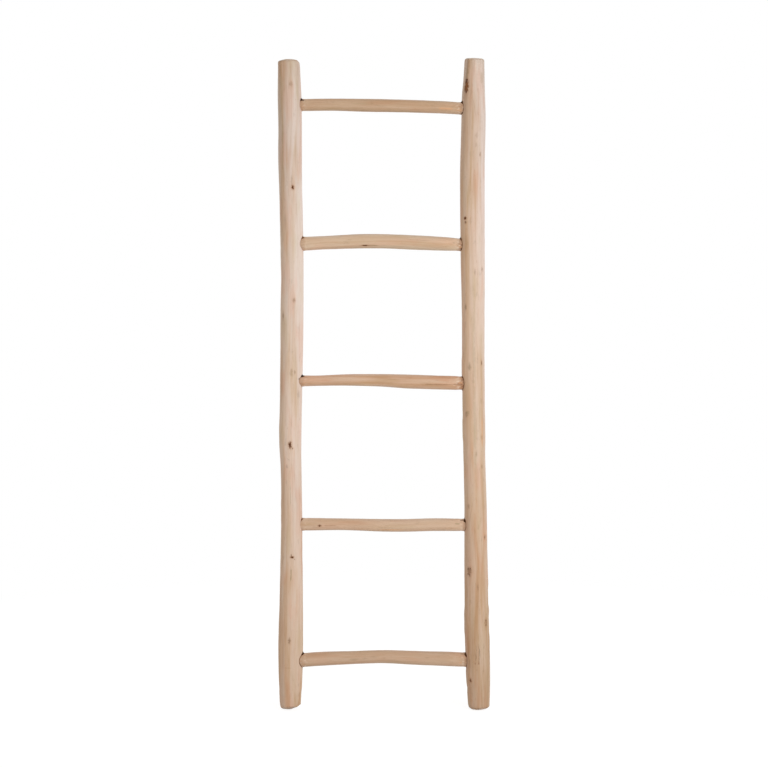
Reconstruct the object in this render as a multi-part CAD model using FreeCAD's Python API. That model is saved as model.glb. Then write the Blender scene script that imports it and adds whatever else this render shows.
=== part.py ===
import FreeCAD, Part
import math
import os
from FreeCAD import Vector

# Blanket ladder of peeled branch wood: two upright rails and five rungs. Each rung's whittled round
# ends sit in blind mortises in the rails, and one nail through each joint, driven from the back,
# holds it. Lengths are in millimetres. +Z runs up the rails, the front faces -Y, and +X is to the
# right as seen from the front. The origin is on the floor, under the middle of the whole ladder.

# ---- Rails
RAIL_LENGTH = 1500.0
LEFT_RAIL_SHORTER_BY = 3.0
RAIL_SPACING = 424.0  # between the two lines that the rails bend about
RAIL_WIDTH = 54.0  # across the front, where the branch neither swells nor thins
RAIL_DEPTH = 52.0  # front to back, at the same place
RAIL_END_ROUNDING = 8.0

# How each branch grew, from the foot up. Each line is a place along the rail, as a share of its
# length, then how far the branch bends to the right there and how much it is thicker or thinner.
LEFT_RAIL_GROWTH = [
    (0.000, -5.0, -5.5),
    (0.036, -4.8, -0.5),
    (0.090, -4.2, 3.5),
    (0.170, -3.0, 1.0),
    (0.240, -2.0, -2.0),
    (0.320, -1.3, -5.0),
    (0.385, -3.0, -4.5),
    (0.415, -4.2, -2.0),
    (0.485, -2.3, -2.0),
    (0.575, 0.0, -0.5),
    (0.700, 1.5, -0.8),
    (0.820, -2.0, 0.2),
    (0.930, -3.2, 1.3),
    (1.000, -5.5, -3.5),
]
RIGHT_RAIL_GROWTH = [
    (0.000, 8.0, -4.5),
    (0.036, 6.8, 0.2),
    (0.090, 4.0, 4.0),
    (0.170, 1.7, 3.0),
    (0.240, -0.3, 0.3),
    (0.320, -1.3, -1.5),
    (0.390, -4.2, -2.8),
    (0.485, -6.3, -1.1),
    (0.580, -7.4, -1.4),
    (0.640, -7.2, 0.0),
    (0.700, -8.5, 2.2),
    (0.780, -9.7, 3.5),
    (0.840, -9.6, 3.2),
    (0.910, -7.5, 3.0),
    (0.945, -7.6, 0.3),
    (1.000, -6.5, -6.5),
]
# Front-to-back bends: a share of the length, and how far the branch bends towards the back there.
LEFT_RAIL_SWAY = [(0.0, 0.0), (0.3, 3.0), (0.65, -2.0), (1.0, 1.5)]
RIGHT_RAIL_SWAY = [(0.0, 0.5), (0.35, -2.0), (0.7, 3.0), (1.0, -1.0)]

# The corner split off the left foot, on the side of the rungs.
FOOT_CHIP_WIDTH = 14.0
FOOT_CHIP_HEIGHT = 7.0

# ---- Rungs, numbered from the top
BOTTOM_RUNG_HEIGHT = 117.0
TOP_RUNG_DROP = 111.0  # from the rails' tops down to the top rung
RUNG_THICKNESS = 31.0
# How each rung grew, from its left end. Each line is a share of the clear span between the rails,
# then how far the branch rises above its level line and how much it is thicker or thinner there.
RUNG_GROWTH = [
    [
        (0.00, 3.7, -2.4),
        (0.20, 4.2, -1.9),
        (0.40, 2.8, -0.2),
        (0.65, 1.0, -0.8),
        (0.85, -1.3, -1.4),
        (1.00, -3.7, -1.5),
    ],
    [
        (0.00, 5.5, 1.7),
        (0.14, 8.0, 1.0),
        (0.36, 11.2, 3.3),
        (0.52, 11.0, 3.1),
        (0.70, 8.5, 3.3),
        (0.85, 6.2, 2.5),
        (1.00, 4.0, -0.8),
    ],
    [
        (0.00, 9.0, -4.3),
        (0.10, 9.4, -5.7),
        (0.27, 11.0, -3.6),
        (0.50, 10.0, -0.5),
        (0.65, 7.6, 2.8),
        (0.85, 5.2, 2.5),
        (1.00, 4.0, 2.2),
    ],
    [
        (0.00, -4.6, -0.6),
        (0.25, -4.6, -2.7),
        (0.50, -7.2, -0.2),
        (0.65, -7.2, 0.1),
        (0.80, -5.3, 0.0),
        (1.00, -5.3, -0.9),
    ],
    [
        (0.00, -2.0, 2.5),
        (0.14, 1.3, 2.6),
        (0.30, 3.8, 0.6),
        (0.50, 6.0, 0.6),
        (0.68, 3.2, 2.4),
        (0.85, 1.0, 3.5),
        (1.00, -1.0, 4.0),
    ],
]
RUNG_SWAY = [-2.0, 1.5, -1.0, 2.0, -1.5]  # how far each rung's middle bends towards the back
RUNG_COUNT = len(RUNG_GROWTH)

# ---- Joints
MORTISE_DEPTH = 36.0  # from the rail's inner side, as far as the tenon reaches
MORTISE_PLAY = 1.4  # between mortise and tenon, all round, if the tenon were centred
TENON_SEAT_GAP = 0.3  # under the tenon, which lies on the bottom of its mortise
TENON_END_GAP = 0.3

# ---- Nails
NAIL_DIAMETER = 2.2
NAIL_LENGTH = 38.0
NAIL_POINT_LENGTH = 4.0
NAIL_HEAD_DIAMETER = 5.0
NAIL_HEAD_THICKNESS = 1.0
NAIL_HEAD_SUNK = 0.3  # below the rail's back
NAIL_FROM_TENON_TIP = 10.0
NAIL_HOLE_CLEARANCE = 0.05  # all round

# ---- Section outlines
ACROSS = Vector(1, 0, 0)
BACK = Vector(0, 1, 0)
UP = Vector(0, 0, 1)
RING_POINTS = 12
TENON_RINGS = 3
SECTION_LOBES = 3
SECTION_UNEVENNESS = 0.012  # as a share of the section's radius
LOBE_TURN_ALONG = math.radians(140)  # how far the lobes wind round from one end to the other

RAILS = {
    "left": {
        "line": -RAIL_SPACING / 2,
        "inward": 1,
        "length": RAIL_LENGTH - LEFT_RAIL_SHORTER_BY,
        "growth": LEFT_RAIL_GROWTH,
        "sway": LEFT_RAIL_SWAY,
    },
    "right": {
        "line": RAIL_SPACING / 2,
        "inward": -1,
        "length": RAIL_LENGTH,
        "growth": RIGHT_RAIL_GROWTH,
        "sway": RIGHT_RAIL_SWAY,
    },
}


def slope_at(stations, index, column):
    """How fast a value changes at a station, judged from the stations on both sides of it."""
    before = stations[max(index - 1, 0)]
    after = stations[min(index + 1, len(stations) - 1)]
    return (after[column] - before[column]) / (after[0] - before[0])


def eased(stations, share, column):
    """The value of a column at a share of the length, on a smooth curve through the stations."""
    index = 0
    while index < len(stations) - 2 and share > stations[index + 1][0]:
        index += 1
    start = stations[index]
    end = stations[index + 1]
    span = end[0] - start[0]
    t = (share - start[0]) / span
    rise = end[column] - start[column]
    slope_in = slope_at(stations, index, column) * span
    slope_out = slope_at(stations, index + 1, column) * span
    return (
        start[column]
        + slope_in * t
        + (3 * rise - 2 * slope_in - slope_out) * t**2
        + (slope_in + slope_out - 2 * rise) * t**3
    )


def places_along(stations):
    """The shares of the length that get a section: each station, and halfway to the next."""
    shares = [station[0] for station in stations]
    halfway = [(low + high) / 2 for low, high in zip(shares, shares[1:])]
    return sorted(shares + halfway)


def ring(centre, side, up, side_radius, up_radius, unevenness=0.0, turn=0.0):
    """A closed outline of the branch, square to it: an oval with low lobes."""
    points = []
    for step in range(RING_POINTS):
        angle = 2 * math.pi * step / RING_POINTS
        swell = 1 + unevenness * math.cos(SECTION_LOBES * angle + turn)
        points.append(
            centre
            + side * (side_radius * swell * math.cos(angle))
            + up * (up_radius * swell * math.sin(angle))
        )
    curve = Part.BSplineCurve()
    curve.interpolate(points, PeriodicFlag=True)
    return Part.Wire(curve.toShape())


def rail_at(rail, height):
    """A rail's centre at a height, and its half width and half depth there."""
    share = height / rail["length"]
    thicker = eased(rail["growth"], share, 2)
    centre = Vector(
        rail["line"] + eased(rail["growth"], share, 1),
        eased(rail["sway"], share, 1),
        height,
    )
    return centre, (RAIL_WIDTH + thicker) / 2, (RAIL_DEPTH + thicker) / 2


def rung_height(index):
    """The level line of a rung, which the rung's own bends are measured from."""
    top = RAIL_LENGTH - TOP_RUNG_DROP
    pitch = (top - BOTTOM_RUNG_HEIGHT) / (RUNG_COUNT - 1)
    return top - index * pitch


def joint_at(index, side):
    """Where a rung meets a rail: the tenon's axis and radius, the mortise's mouth and floor."""
    rail = RAILS[side]
    end = RUNG_GROWTH[index][0 if side == "left" else -1]
    height = rung_height(index) + end[1]
    centre, half_width, _ = rail_at(rail, height)
    mouth = centre.x + rail["inward"] * half_width
    return {
        "inward": rail["inward"],
        "mouth": mouth,
        "floor": mouth - rail["inward"] * MORTISE_DEPTH,
        "y": centre.y,
        "z": height,
        "radius": (RUNG_THICKNESS + end[2]) / 2,
    }


def branch_of(rail):
    """A rail before its ends are worked and its mortises are bored."""
    rings = []
    for share in places_along(rail["growth"]):
        centre, half_width, half_depth = rail_at(rail, share * rail["length"])
        turn = LOBE_TURN_ALONG * share * rail["inward"]
        rings.append(ring(centre, ACROSS, BACK, half_width, half_depth, SECTION_UNEVENNESS, turn))
    branch = Part.makeLoft(rings, True, False)
    end_edges = [edge for edge in branch.Edges if edge.BoundBox.ZLength < RAIL_END_ROUNDING / 2]
    return branch.makeFillet(RAIL_END_ROUNDING, end_edges)


def foot_chip(rail):
    """The wedge of wood that has split off a foot's inner corner."""
    centre, half_width, _ = rail_at(rail, 0.0)
    inward = rail["inward"]
    edge = centre.x + inward * half_width
    outline = Part.makePolygon(
        [
            Vector(edge - inward * FOOT_CHIP_WIDTH, -RAIL_DEPTH, 0),
            Vector(edge + inward * FOOT_CHIP_WIDTH, -RAIL_DEPTH, 0),
            Vector(edge + inward * FOOT_CHIP_WIDTH, -RAIL_DEPTH, 2 * FOOT_CHIP_HEIGHT),
            Vector(edge - inward * FOOT_CHIP_WIDTH, -RAIL_DEPTH, 0),
        ]
    )
    return Part.Face(outline).extrude(Vector(0, 2 * RAIL_DEPTH, 0))


def mortise(joint):
    """The round hole for a tenon. The tenon lies on its bottom, so the play shows at its top."""
    lift = MORTISE_PLAY - TENON_SEAT_GAP
    start = Vector(joint["floor"] - joint["inward"] * TENON_END_GAP, joint["y"], joint["z"] + lift)
    return Part.makeCylinder(
        joint["radius"] + MORTISE_PLAY,
        MORTISE_DEPTH + RAIL_WIDTH / 2,
        start,
        ACROSS * joint["inward"],
    )


def nail_seat(branch, joint):
    """The bottom of the nail head's recess, on the nail's own line."""
    x = joint["floor"] + joint["inward"] * NAIL_FROM_TENON_TIP
    inside = Vector(x, joint["y"], joint["z"])
    line = Part.makeLine(inside, inside + BACK * RAIL_DEPTH)
    surface = branch.common(line).BoundBox.YMax
    return Vector(x, surface - NAIL_HEAD_SUNK - NAIL_HEAD_THICKNESS, joint["z"])


def nail(seat):
    """A round flat-headed nail, its head on the seat and its point towards the front."""
    shank_length = NAIL_LENGTH - NAIL_HEAD_THICKNESS - NAIL_POINT_LENGTH
    head = Part.makeCylinder(NAIL_HEAD_DIAMETER / 2, NAIL_HEAD_THICKNESS, seat, BACK)
    shank = Part.makeCylinder(NAIL_DIAMETER / 2, shank_length, seat, -BACK)
    point = Part.makeCone(NAIL_DIAMETER / 2, 0, NAIL_POINT_LENGTH, seat - BACK * shank_length, -BACK)
    return head.fuse([shank, point]).removeSplitter()


def nail_hole(seat):
    """The hole that the nail makes in what it passes through, with the recess for its head."""
    length = NAIL_LENGTH - NAIL_HEAD_THICKNESS + NAIL_HOLE_CLEARANCE
    hole = Part.makeCylinder(NAIL_DIAMETER / 2 + NAIL_HOLE_CLEARANCE, length, seat, -BACK)
    recess_radius = NAIL_HEAD_DIAMETER / 2 + NAIL_HOLE_CLEARANCE
    recess = Part.makeCylinder(recess_radius, RAIL_DEPTH / 2, seat, BACK)
    return hole.fuse(recess)


def rung(index, joints):
    """A rung in one piece with its two tenons."""
    growth = RUNG_GROWTH[index]
    left = joints["left"]
    right = joints["right"]
    rings = []
    for share in places_along(growth):
        centre = Vector(
            left["mouth"] + share * (right["mouth"] - left["mouth"]),
            left["y"] + share * (right["y"] - left["y"]) + RUNG_SWAY[index] * math.sin(math.pi * share),
            rung_height(index) + eased(growth, share, 1),
        )
        radius = (RUNG_THICKNESS + eased(growth, share, 2)) / 2
        unevenness = SECTION_UNEVENNESS * math.sin(math.pi * share)
        turn = LOBE_TURN_ALONG * share
        rings.append(ring(centre, BACK, UP, radius, radius, unevenness, turn))
    return Part.makeLoft(tenon_rings(left) + rings + tenon_rings(right)[::-1], True, False)


def tenon_rings(joint):
    """The straight end of a rung, from the mortise's floor outwards."""
    rings = []
    for ring_number in range(TENON_RINGS, 0, -1):
        depth = MORTISE_DEPTH * ring_number / TENON_RINGS
        centre = Vector(joint["mouth"] - joint["inward"] * depth, joint["y"], joint["z"])
        rings.append(ring(centre, BACK, UP, joint["radius"], joint["radius"]))
    return rings


def build_ladder():
    """Every piece of the ladder, by name, where it stands before the whole is centred."""
    pieces = {}
    joints = [{side: joint_at(index, side) for side in RAILS} for index in range(RUNG_COUNT)]
    branches = {side: branch_of(rail) for side, rail in RAILS.items()}
    branches["left"] = branches["left"].cut(foot_chip(RAILS["left"]))
    seats = [{side: nail_seat(branches[side], joint[side]) for side in RAILS} for joint in joints]
    for side in RAILS:
        bores = [mortise(joint[side]) for joint in joints]
        bores += [nail_hole(seat[side]) for seat in seats]
        pieces[side + "_rail"] = branches[side].cut(bores)
    for index in range(RUNG_COUNT):
        holes = [nail_hole(seats[index][side]) for side in RAILS]
        pieces[f"rung_{index + 1}"] = rung(index, joints[index]).cut(holes)
        for side in RAILS:
            pieces[f"nail_{index + 1}_{side}"] = nail(seats[index][side])
    return pieces


def centred(pieces):
    """The pieces moved together, so that the origin is under the middle of them all."""
    box = FreeCAD.BoundBox()
    for shape in pieces.values():
        box.add(shape.optimalBoundingBox(True, False))
    shift = Vector(-box.Center.x, -box.Center.y, -box.ZMin)
    return {name: shape.translated(shift) for name, shape in pieces.items()}


def export(pieces):
    """One file for each piece, with a line on each that shows whether it is whole."""
    os.makedirs("parts", exist_ok=True)
    for name, shape in pieces.items():
        print(f"{name}: {len(shape.Solids)} solid, valid {shape.isValid()}, {shape.Volume:.0f} cubic mm")
        shape.exportStep(f"parts/{name}.step")


export(centred(build_ladder()))
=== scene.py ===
import math

import bmesh
import bpy
import numpy as np
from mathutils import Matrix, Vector
from mathutils.bvhtree import BVHTree


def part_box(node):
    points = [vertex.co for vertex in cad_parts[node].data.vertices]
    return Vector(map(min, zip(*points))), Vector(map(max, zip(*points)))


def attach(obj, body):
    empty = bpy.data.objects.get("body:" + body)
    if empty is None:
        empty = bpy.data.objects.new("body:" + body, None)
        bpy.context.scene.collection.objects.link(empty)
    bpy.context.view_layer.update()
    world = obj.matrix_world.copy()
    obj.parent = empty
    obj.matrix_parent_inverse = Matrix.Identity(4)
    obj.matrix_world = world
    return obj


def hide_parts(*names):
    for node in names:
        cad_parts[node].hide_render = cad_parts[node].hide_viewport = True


# Blanket ladder of peeled branch wood. Each branch's outer surface is read from its node, refined,
# and worked over: flutes left by the knife, knots, worn rims, whittled rung ends, drying cracks.
# Lengths are in metres, and named sizes in millimetres are multiplied by MM where they are used.

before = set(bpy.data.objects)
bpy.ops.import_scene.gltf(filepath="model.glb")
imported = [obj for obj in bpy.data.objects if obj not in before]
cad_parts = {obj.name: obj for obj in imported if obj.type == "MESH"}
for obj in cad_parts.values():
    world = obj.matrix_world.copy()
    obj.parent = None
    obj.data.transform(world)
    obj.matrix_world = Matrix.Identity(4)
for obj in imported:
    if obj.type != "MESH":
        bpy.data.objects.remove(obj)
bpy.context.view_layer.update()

MM = 0.001
X = Vector((1, 0, 0))
Y = Vector((0, 1, 0))
Z = Vector((0, 0, 1))

RAILS = ("left_rail", "right_rail")
INWARD = {"left_rail": 1, "right_rail": -1}  # which way along X a rail's mortises open
RUNGS = sorted(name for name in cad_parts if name.startswith("rung_"))
NAILS = sorted(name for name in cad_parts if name.startswith("nail_"))

# ---- How finely the branches are cut up
RAIL_ANGLES = 112
RUNG_ANGLES = 80
RAIL_STEP = 2.6  # mm between rings along a rail
RUNG_STEP = 2.0
CAP_SHARES = (0.93, 0.8, 0.62, 0.42, 0.2)  # rings inside an end face, as shares of its outline
PROBE_REACH = 0.12  # metres outside a branch, where the rays start that measure it

# ---- What the knife and the years left, in mm
RAIL_FLUTES = {"depth": 0.45, "width": 13.0, "length": 330.0, "ripple": 0.30, "ripple_length": 38.0}
RUNG_FLUTES = {"depth": 0.40, "width": 9.0, "length": 170.0, "ripple": 0.22, "ripple_length": 26.0}
RIM_WEAR = 0.25  # how far the wood has sunk at the mouth of a mortise
RIM_WEAR_REACH = 3.0
BORE_WOBBLE = 0.2  # how far a hand-bored mortise strays from round

# Knots: height up the rail in mm, turn from the front towards the right in degrees, half width and
# half height in mm, and how dark the heart is, from 0 to 1. On a rung they start with the distance
# from its middle towards the right, and the turn from the front towards the top.
OPEN_KNOT_SIZE = 4.0  # mm: a wider knot has a ring of bark round a lighter heart
KNOTS = {
    "left_rail": [
        (1437, 10, 3.6, 5.6, 0.34),
        (1204, 13, 3.2, 4.4, 1.00),
        (1222, 8, 1.5, 10.0, 0.30),
        (1125, -31, 2.6, 16.0, 0.15),
        (947, 12, 3.0, 4.6, 0.44),
        (911, -47, 2.0, 9.0, 0.48),
        (785, 4, 2.4, 4.6, 0.30),
        (783, 21, 2.2, 4.0, 0.38),
        (616, 1, 3.9, 7.6, 0.80),
        (608, 15, 1.3, 2.0, 0.55),
        (566, -21, 2.4, 4.0, 0.30),
        (361, 1, 1.2, 3.2, 0.50),
        (357, 5, 3.8, 2.3, 0.86),
        (352, 19, 1.0, 1.6, 0.48),
        (163, -5, 2.8, 7.0, 0.50),
        (1320, 150, 5.5, 10.0, 0.80),
        (1105, -140, 3.4, 6.0, 0.70),
        (860, 118, 3.2, 7.0, 0.55),
        (690, 170, 5.0, 8.0, 0.90),
        (480, -112, 3.0, 5.0, 0.65),
        (250, 135, 4.2, 8.5, 0.75),
    ],
    "right_rail": [
        (1433, -43, 5.4, 16.5, 0.95),
        (1464, -36, 2.2, 4.0, 0.34),
        (1322, 15, 2.4, 7.0, 0.26),
        (1301, 13, 2.2, 4.6, 0.25),
        (1279, 36, 2.4, 5.0, 0.44),
        (1134, -40, 3.4, 3.6, 1.00),
        (1125, -38, 2.8, 3.0, 0.60),
        (1080, -34, 4.0, 14.0, 0.14),
        (1012, 7, 1.8, 7.0, 0.36),
        (1018, 49, 2.2, 5.0, 0.46),
        (932, -46, 2.6, 7.5, 0.44),
        (804, 46, 2.0, 6.0, 0.58),
        (794, -24, 3.8, 5.5, 0.34),
        (686, -43, 4.2, 5.5, 0.36),
        (633, 45, 2.6, 5.0, 0.34),
        (596, 8, 2.2, 4.6, 0.32),
        (566, 42, 2.2, 5.0, 0.40),
        (474, -41, 3.0, 5.0, 0.42),
        (403, 52, 2.6, 6.0, 0.58),
        (324, -38, 6.0, 10.0, 0.62),
        (288, 4, 1.9, 7.0, 0.42),
        (205, 47, 4.6, 7.5, 0.52),
        (71, -44, 3.0, 5.0, 0.66),
        (1180, 160, 5.4, 10.0, 0.85),
        (970, -150, 3.4, 6.0, 0.65),
        (640, 140, 4.2, 8.0, 0.75),
        (380, -160, 5.0, 9.0, 0.85),
        (150, 120, 3.4, 6.0, 0.55),
    ],
    "rung_1": [(-60, 150, 2.6, 5.0, 0.65)],
    "rung_2": [
        (-44, -38, 1.7, 8.0, 0.95),
        (159, 12, 1.6, 2.4, 0.36),
        (170, 4, 1.6, 2.4, 0.36),
        (60, 165, 2.8, 6.0, 0.65),
    ],
    "rung_3": [(30, -150, 3.0, 5.0, 0.70)],
    "rung_4": [(-149, -8, 2.4, 3.8, 0.80), (90, 140, 2.8, 5.0, 0.65)],
    "rung_5": [(-68, -12, 2.6, 6.0, 0.16), (100, 160, 2.6, 5.0, 0.60)],
}

# Marks by kind: middle along the branch, turn, length and width in mm, lean in degrees, and strength.
MARKS = {
    "line": {
        "left_rail": [
            (1010, -40, 60, 3.0, 2, 0.18), (520, 24, 90, 2.2, -1, 0.18), (101, -14, 3, 26, 0, 0.20),
        ],
        "right_rail": [
            (1480, -44, 40, 5.5, 2, 0.26),
            (1384, 2, 52, 2.6, -9, 0.22),
            (1390, 22, 50, 2.6, 9, 0.18),
            (460, -28, 60, 2.4, 10, 0.26),
            (221, 30, 44, 2.2, 12, 0.28),
            (116, 27, 70, 1.8, 0, 0.36),
            (150, -24, 60, 1.8, 0, 0.36),
            (127, -15, 32, 1.6, 0, 0.50),
            (138, 1, 52, 1.8, 0, 0.55),
            (112, -15, 6, 3.4, 0, 0.80),
            (112, 1, 6, 3.4, 0, 0.80),
            (110, -44, 26, 5.0, 0, 0.40),
        ],
        "rung_1": [(-150, 14, 46, 1.8, 0, 0.34), (20, 10, 90, 1.6, 1, 0.20)],
        "rung_2": [(-32, -37, 44, 2.2, 1, 0.70), (78, 20, 64, 1.8, 0, 0.34)],
        "rung_3": [(124, -14, 88, 2.0, 0, 0.80), (20, 16, 90, 2.0, 0, 0.28), (172, -8, 18, 11, 0, 0.70)],
        "rung_4": [(-126, -9, 34, 2.2, 0, 0.80), (-60, 18, 80, 1.8, 0, 0.20)],
        "rung_5": [(40, 10, 110, 1.8, -1, 0.18), (-110, -20, 60, 2.0, 1, 0.18)],
    },
    "stain": {
        "left_rail": [(1204, 15, 8, 4, 0, 0.45), (600, 22, 30, 6, 0, 0.25)],
        "right_rail": [
            (1120, -14, 60, 4.0, 0, 0.25), (645, 47, 80, 9.0, 0, 0.55), (404, 50, 22, 7.0, 0, 0.40),
        ],
        "rung_1": [(140, -16, 40, 8.0, 0, 0.70), (172, -30, 10, 8.0, 0, 0.60)],
        "rung_2": [(173, -30, 10, 8.0, 0, 0.45)],
        "rung_3": [(174, 4, 12, 9.0, 0, 0.60)],
        "rung_4": [(16, -36, 60, 4.0, 0, 0.80)],
        "rung_5": [(176, -26, 8, 8.0, 0, 0.50)],
    },
    "smudge": {
        "left_rail": [
            (316, 0, 34, 4.0, 2, 0.75), (1290, -38, 160, 9.0, 0, 0.35), (500, -4, 60, 3.6, 0, 0.35),
        ],
        "right_rail": [
            (1462, -44, 30, 12.0, 0, 0.48),
            (1452, 44, 34, 12.0, 0, 0.30),
            (796, -24, 26, 8.0, 0, 0.30),
            (690, -36, 10, 16.0, 0, 0.35),
            (596, 8, 26, 8.0, 0, 0.28),
            (758, 2, 600, 11.0, 0, 0.28),
        ],
        "rung_1": [(-50, 6, 60, 4.0, 0, 0.35)],
        "rung_2": [(-36, -34, 44, 4.0, 1, 0.40)],
        "rung_3": [],
        "rung_4": [(168, 18, 14, 8.0, 0, 0.60)],
        "rung_5": [(-70, -6, 30, 8.0, 0, 0.22)],
    },
    "scraped": {
        "left_rail": [
            (748, 64, 12, 4.0, 20, 0.60),
            (1078, 60, 26, 3.0, 8, 0.40),
            (4, -24, 5, 5.0, 0, 0.60),
            (50, -24, 140, 10.0, 0, 0.12),
        ],
        "right_rail": [
            # the first mark is painted light on the right side of the foot; the others are scraped wood
            (60, 76, 130, 10.0, 0, 0.40), (50, -42, 150, 10.0, 0, 0.16), (250, -44, 220, 9.0, 0, 0.18),
        ],
        "rung_1": [(168, -22, 8, 3.0, 0, 0.50)],
        "rung_2": [(172, -14, 6, 4.0, 0, 0.80), (165, 10, 5, 3.0, 0, 0.50)],
        "rung_3": [(168, 16, 7, 5.0, 0, 0.75), (160, -24, 6, 3.0, 0, 0.50), (166, -6, 5, 3.0, 0, 0.60)],
        "rung_4": [(176, -20, 6, 4.0, 0, 0.40)],
        "rung_5": [(182, -10, 6, 6.0, 0, 0.60)],
    },
    # dark spots at the tops of the joints: glue, darkened as painted shade of the gap above the tenon
    "glued": {
        "left_rail": [(767, 50, 6, 8.0, 0, 0.70)],
        "right_rail": [],
        "rung_1": [(-186, 52, 8, 8.0, 0, 0.90)],
        "rung_2": [(-185, 54, 8, 6.0, 0, 0.40)],
        "rung_3": [(-186, 60, 8, 6.0, 0, 0.80)],
        "rung_4": [(179, 62, 12, 5.0, 0, 0.70)],
        "rung_5": [(180, 66, 12, 4.0, 0, 0.50)],
    },
}

# Drying cracks: middle along the branch and turn, as for the knots, then length, width and depth.
CRACKS = {
    "left_rail": [(326, 0, 50, 0.5, 1.6), (1190, -165, 120, 0.9, 3.5), (420, 168, 160, 1.0, 4.0)],
    "right_rail": [
        (134, -9, 50, 0.8, 2.6),
        (135, 6, 56, 1.0, 3.0),
        (42, -41, 34, 0.5, 1.6),
        (760, 172, 190, 1.0, 4.5),
        (1330, 140, 90, 0.8, 3.0),
    ],
    "rung_1": [],
    "rung_2": [(78, 20, 62, 0.5, 1.4)],
    "rung_3": [(122, -14, 84, 0.8, 2.4)],
    "rung_4": [(-40, 170, 90, 0.6, 2.0)],
    "rung_5": [(60, 175, 110, 0.6, 2.0)],
}

# How hard each rung end was whittled: left, right. The number is how many flats go round it.
WHITTLING = {
    "rung_1": ((0.45, 8), (0.90, 7)),
    "rung_2": ((0.45, 9), (1.00, 7)),
    "rung_3": ((0.40, 8), (1.00, 6)),
    "rung_4": ((0.40, 8), (0.50, 8)),
    "rung_5": ((0.55, 9), (0.50, 8)),
}
WHITTLED_REACH = 17.0  # mm outside the rail
WHITTLED_DEPTH = 0.06  # of the radius, at full strength

# The wood has dried since it was cut: mm off the radius.
SHRINKAGE = {"rail": 0.5, "rung": 0.75}

# The tops were sawn and then rounded by hand: how far the rim lies below the crown in mm at the right,
# back, left and front, how dark the painted shade is along the edge of its bevel the same way round,
# how high the crown stands over the node's end, how crisp the rim is from 0 to 1, and nicks in it as
# turn from the front, half width in degrees and depth in mm.
TOPS = {
    "left_rail": {
        "fall": (3.6, 3.5, 4.4, 4.6),
        "edge": (0.2, 0.6, 1.2, 0.45),
        "crown": -0.1,
        "crisp": 0.85,
        "nicks": [(84, 26, 4.6)],
    },
    "right_rail": {
        "fall": (1.0, 1.0, 0.0, 3.4),
        "edge": (0.3, 0.6, 1.1, 0.9),
        "crown": -1.2,
        "crisp": 0.35,
        "nicks": [],
    },
}
TOP_BEVEL = 2.2  # mm: the height of the bevel at the rim
TOP_BEVEL_SLOPE = 0.8  # how far the bevel cuts in, as a share of its height
TOP_SHIFT_REACH = 22.0  # mm: how far down the wood is drawn along with the rim
FOOT_BEVEL_SLOPE = 0.28
FOOT_SHIFT_REACH = 24.0
FOOT_FRAY_REACH = 5.0
# The feet: how far the rim has worn up off the floor at the right, back, left and front, how ragged it
# is, how high the bevel round it goes, and how flat the middle is (1 is a cone).
FEET = {
    "left_rail": {"rise": (6.4, 2.6, 1.5, 5.4), "ragged": 1.1, "bevel": 0.0, "flat": 1.5},
    "right_rail": {"rise": (2.4, 1.0, 0.8, 1.4), "ragged": 0.35, "bevel": 5.0, "flat": 3.0},
}
# Flats shaved off a rail: middle height, half length, turn, half width in degrees, and depth in mm. The
# wood stands proud where the depth is below 0.
SHAVED = {
    "left_rail": [
        (375, 50, 88, 45, 0.6),
        (28, 24, 88, 45, 0.8),
        (460, 36, -88, 45, -0.8),
        (140, 110, -88, 50, -0.9),
        (28, 22, -88, 50, -0.6),
        (1040, 30, -88, 45, -0.5),
    ],
    "right_rail": [
        (1480, 75, -82, 50, 1.8),
        (1350, 90, -82, 50, 0.5),
        (868, 50, 88, 45, -0.5),
        (650, 50, 88, 45, -0.7),
        (263, 32, 88, 45, 1.3),
        (199, 32, 88, 45, 1.0),
        (990, 90, -88, 50, -0.6),
        (790, 34, -88, 50, -0.9),
        (650, 34, -88, 50, -1.0),
        (205, 40, -88, 50, -1.3),
        (74, 26, -88, 50, -1.2),
        (28, 24, -88, 50, -0.9),
    ],
}

# How deep each tenon is from front to back, as a share of its height. The rung is whittled down to it.
TENON_DEPTHS = {
    ("left_rail", "rung_1"): 0.86,
    ("right_rail", "rung_1"): 0.82,
    ("left_rail", "rung_2"): 0.97,
    ("right_rail", "rung_2"): 0.76,
    ("left_rail", "rung_3"): 1.17,
    ("right_rail", "rung_3"): 0.72,
    ("left_rail", "rung_4"): 0.80,
    ("right_rail", "rung_4"): 0.68,
    ("left_rail", "rung_5"): 1.00,
    ("right_rail", "rung_5"): 0.66,
}
TENON_REACH = 45.0  # mm outside the rail
TENON_PLAY = 0.4  # mm all round
TOP_PLAY = 0.9  # mm more above the tenon, which lies on the bottom of its mortise

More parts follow.
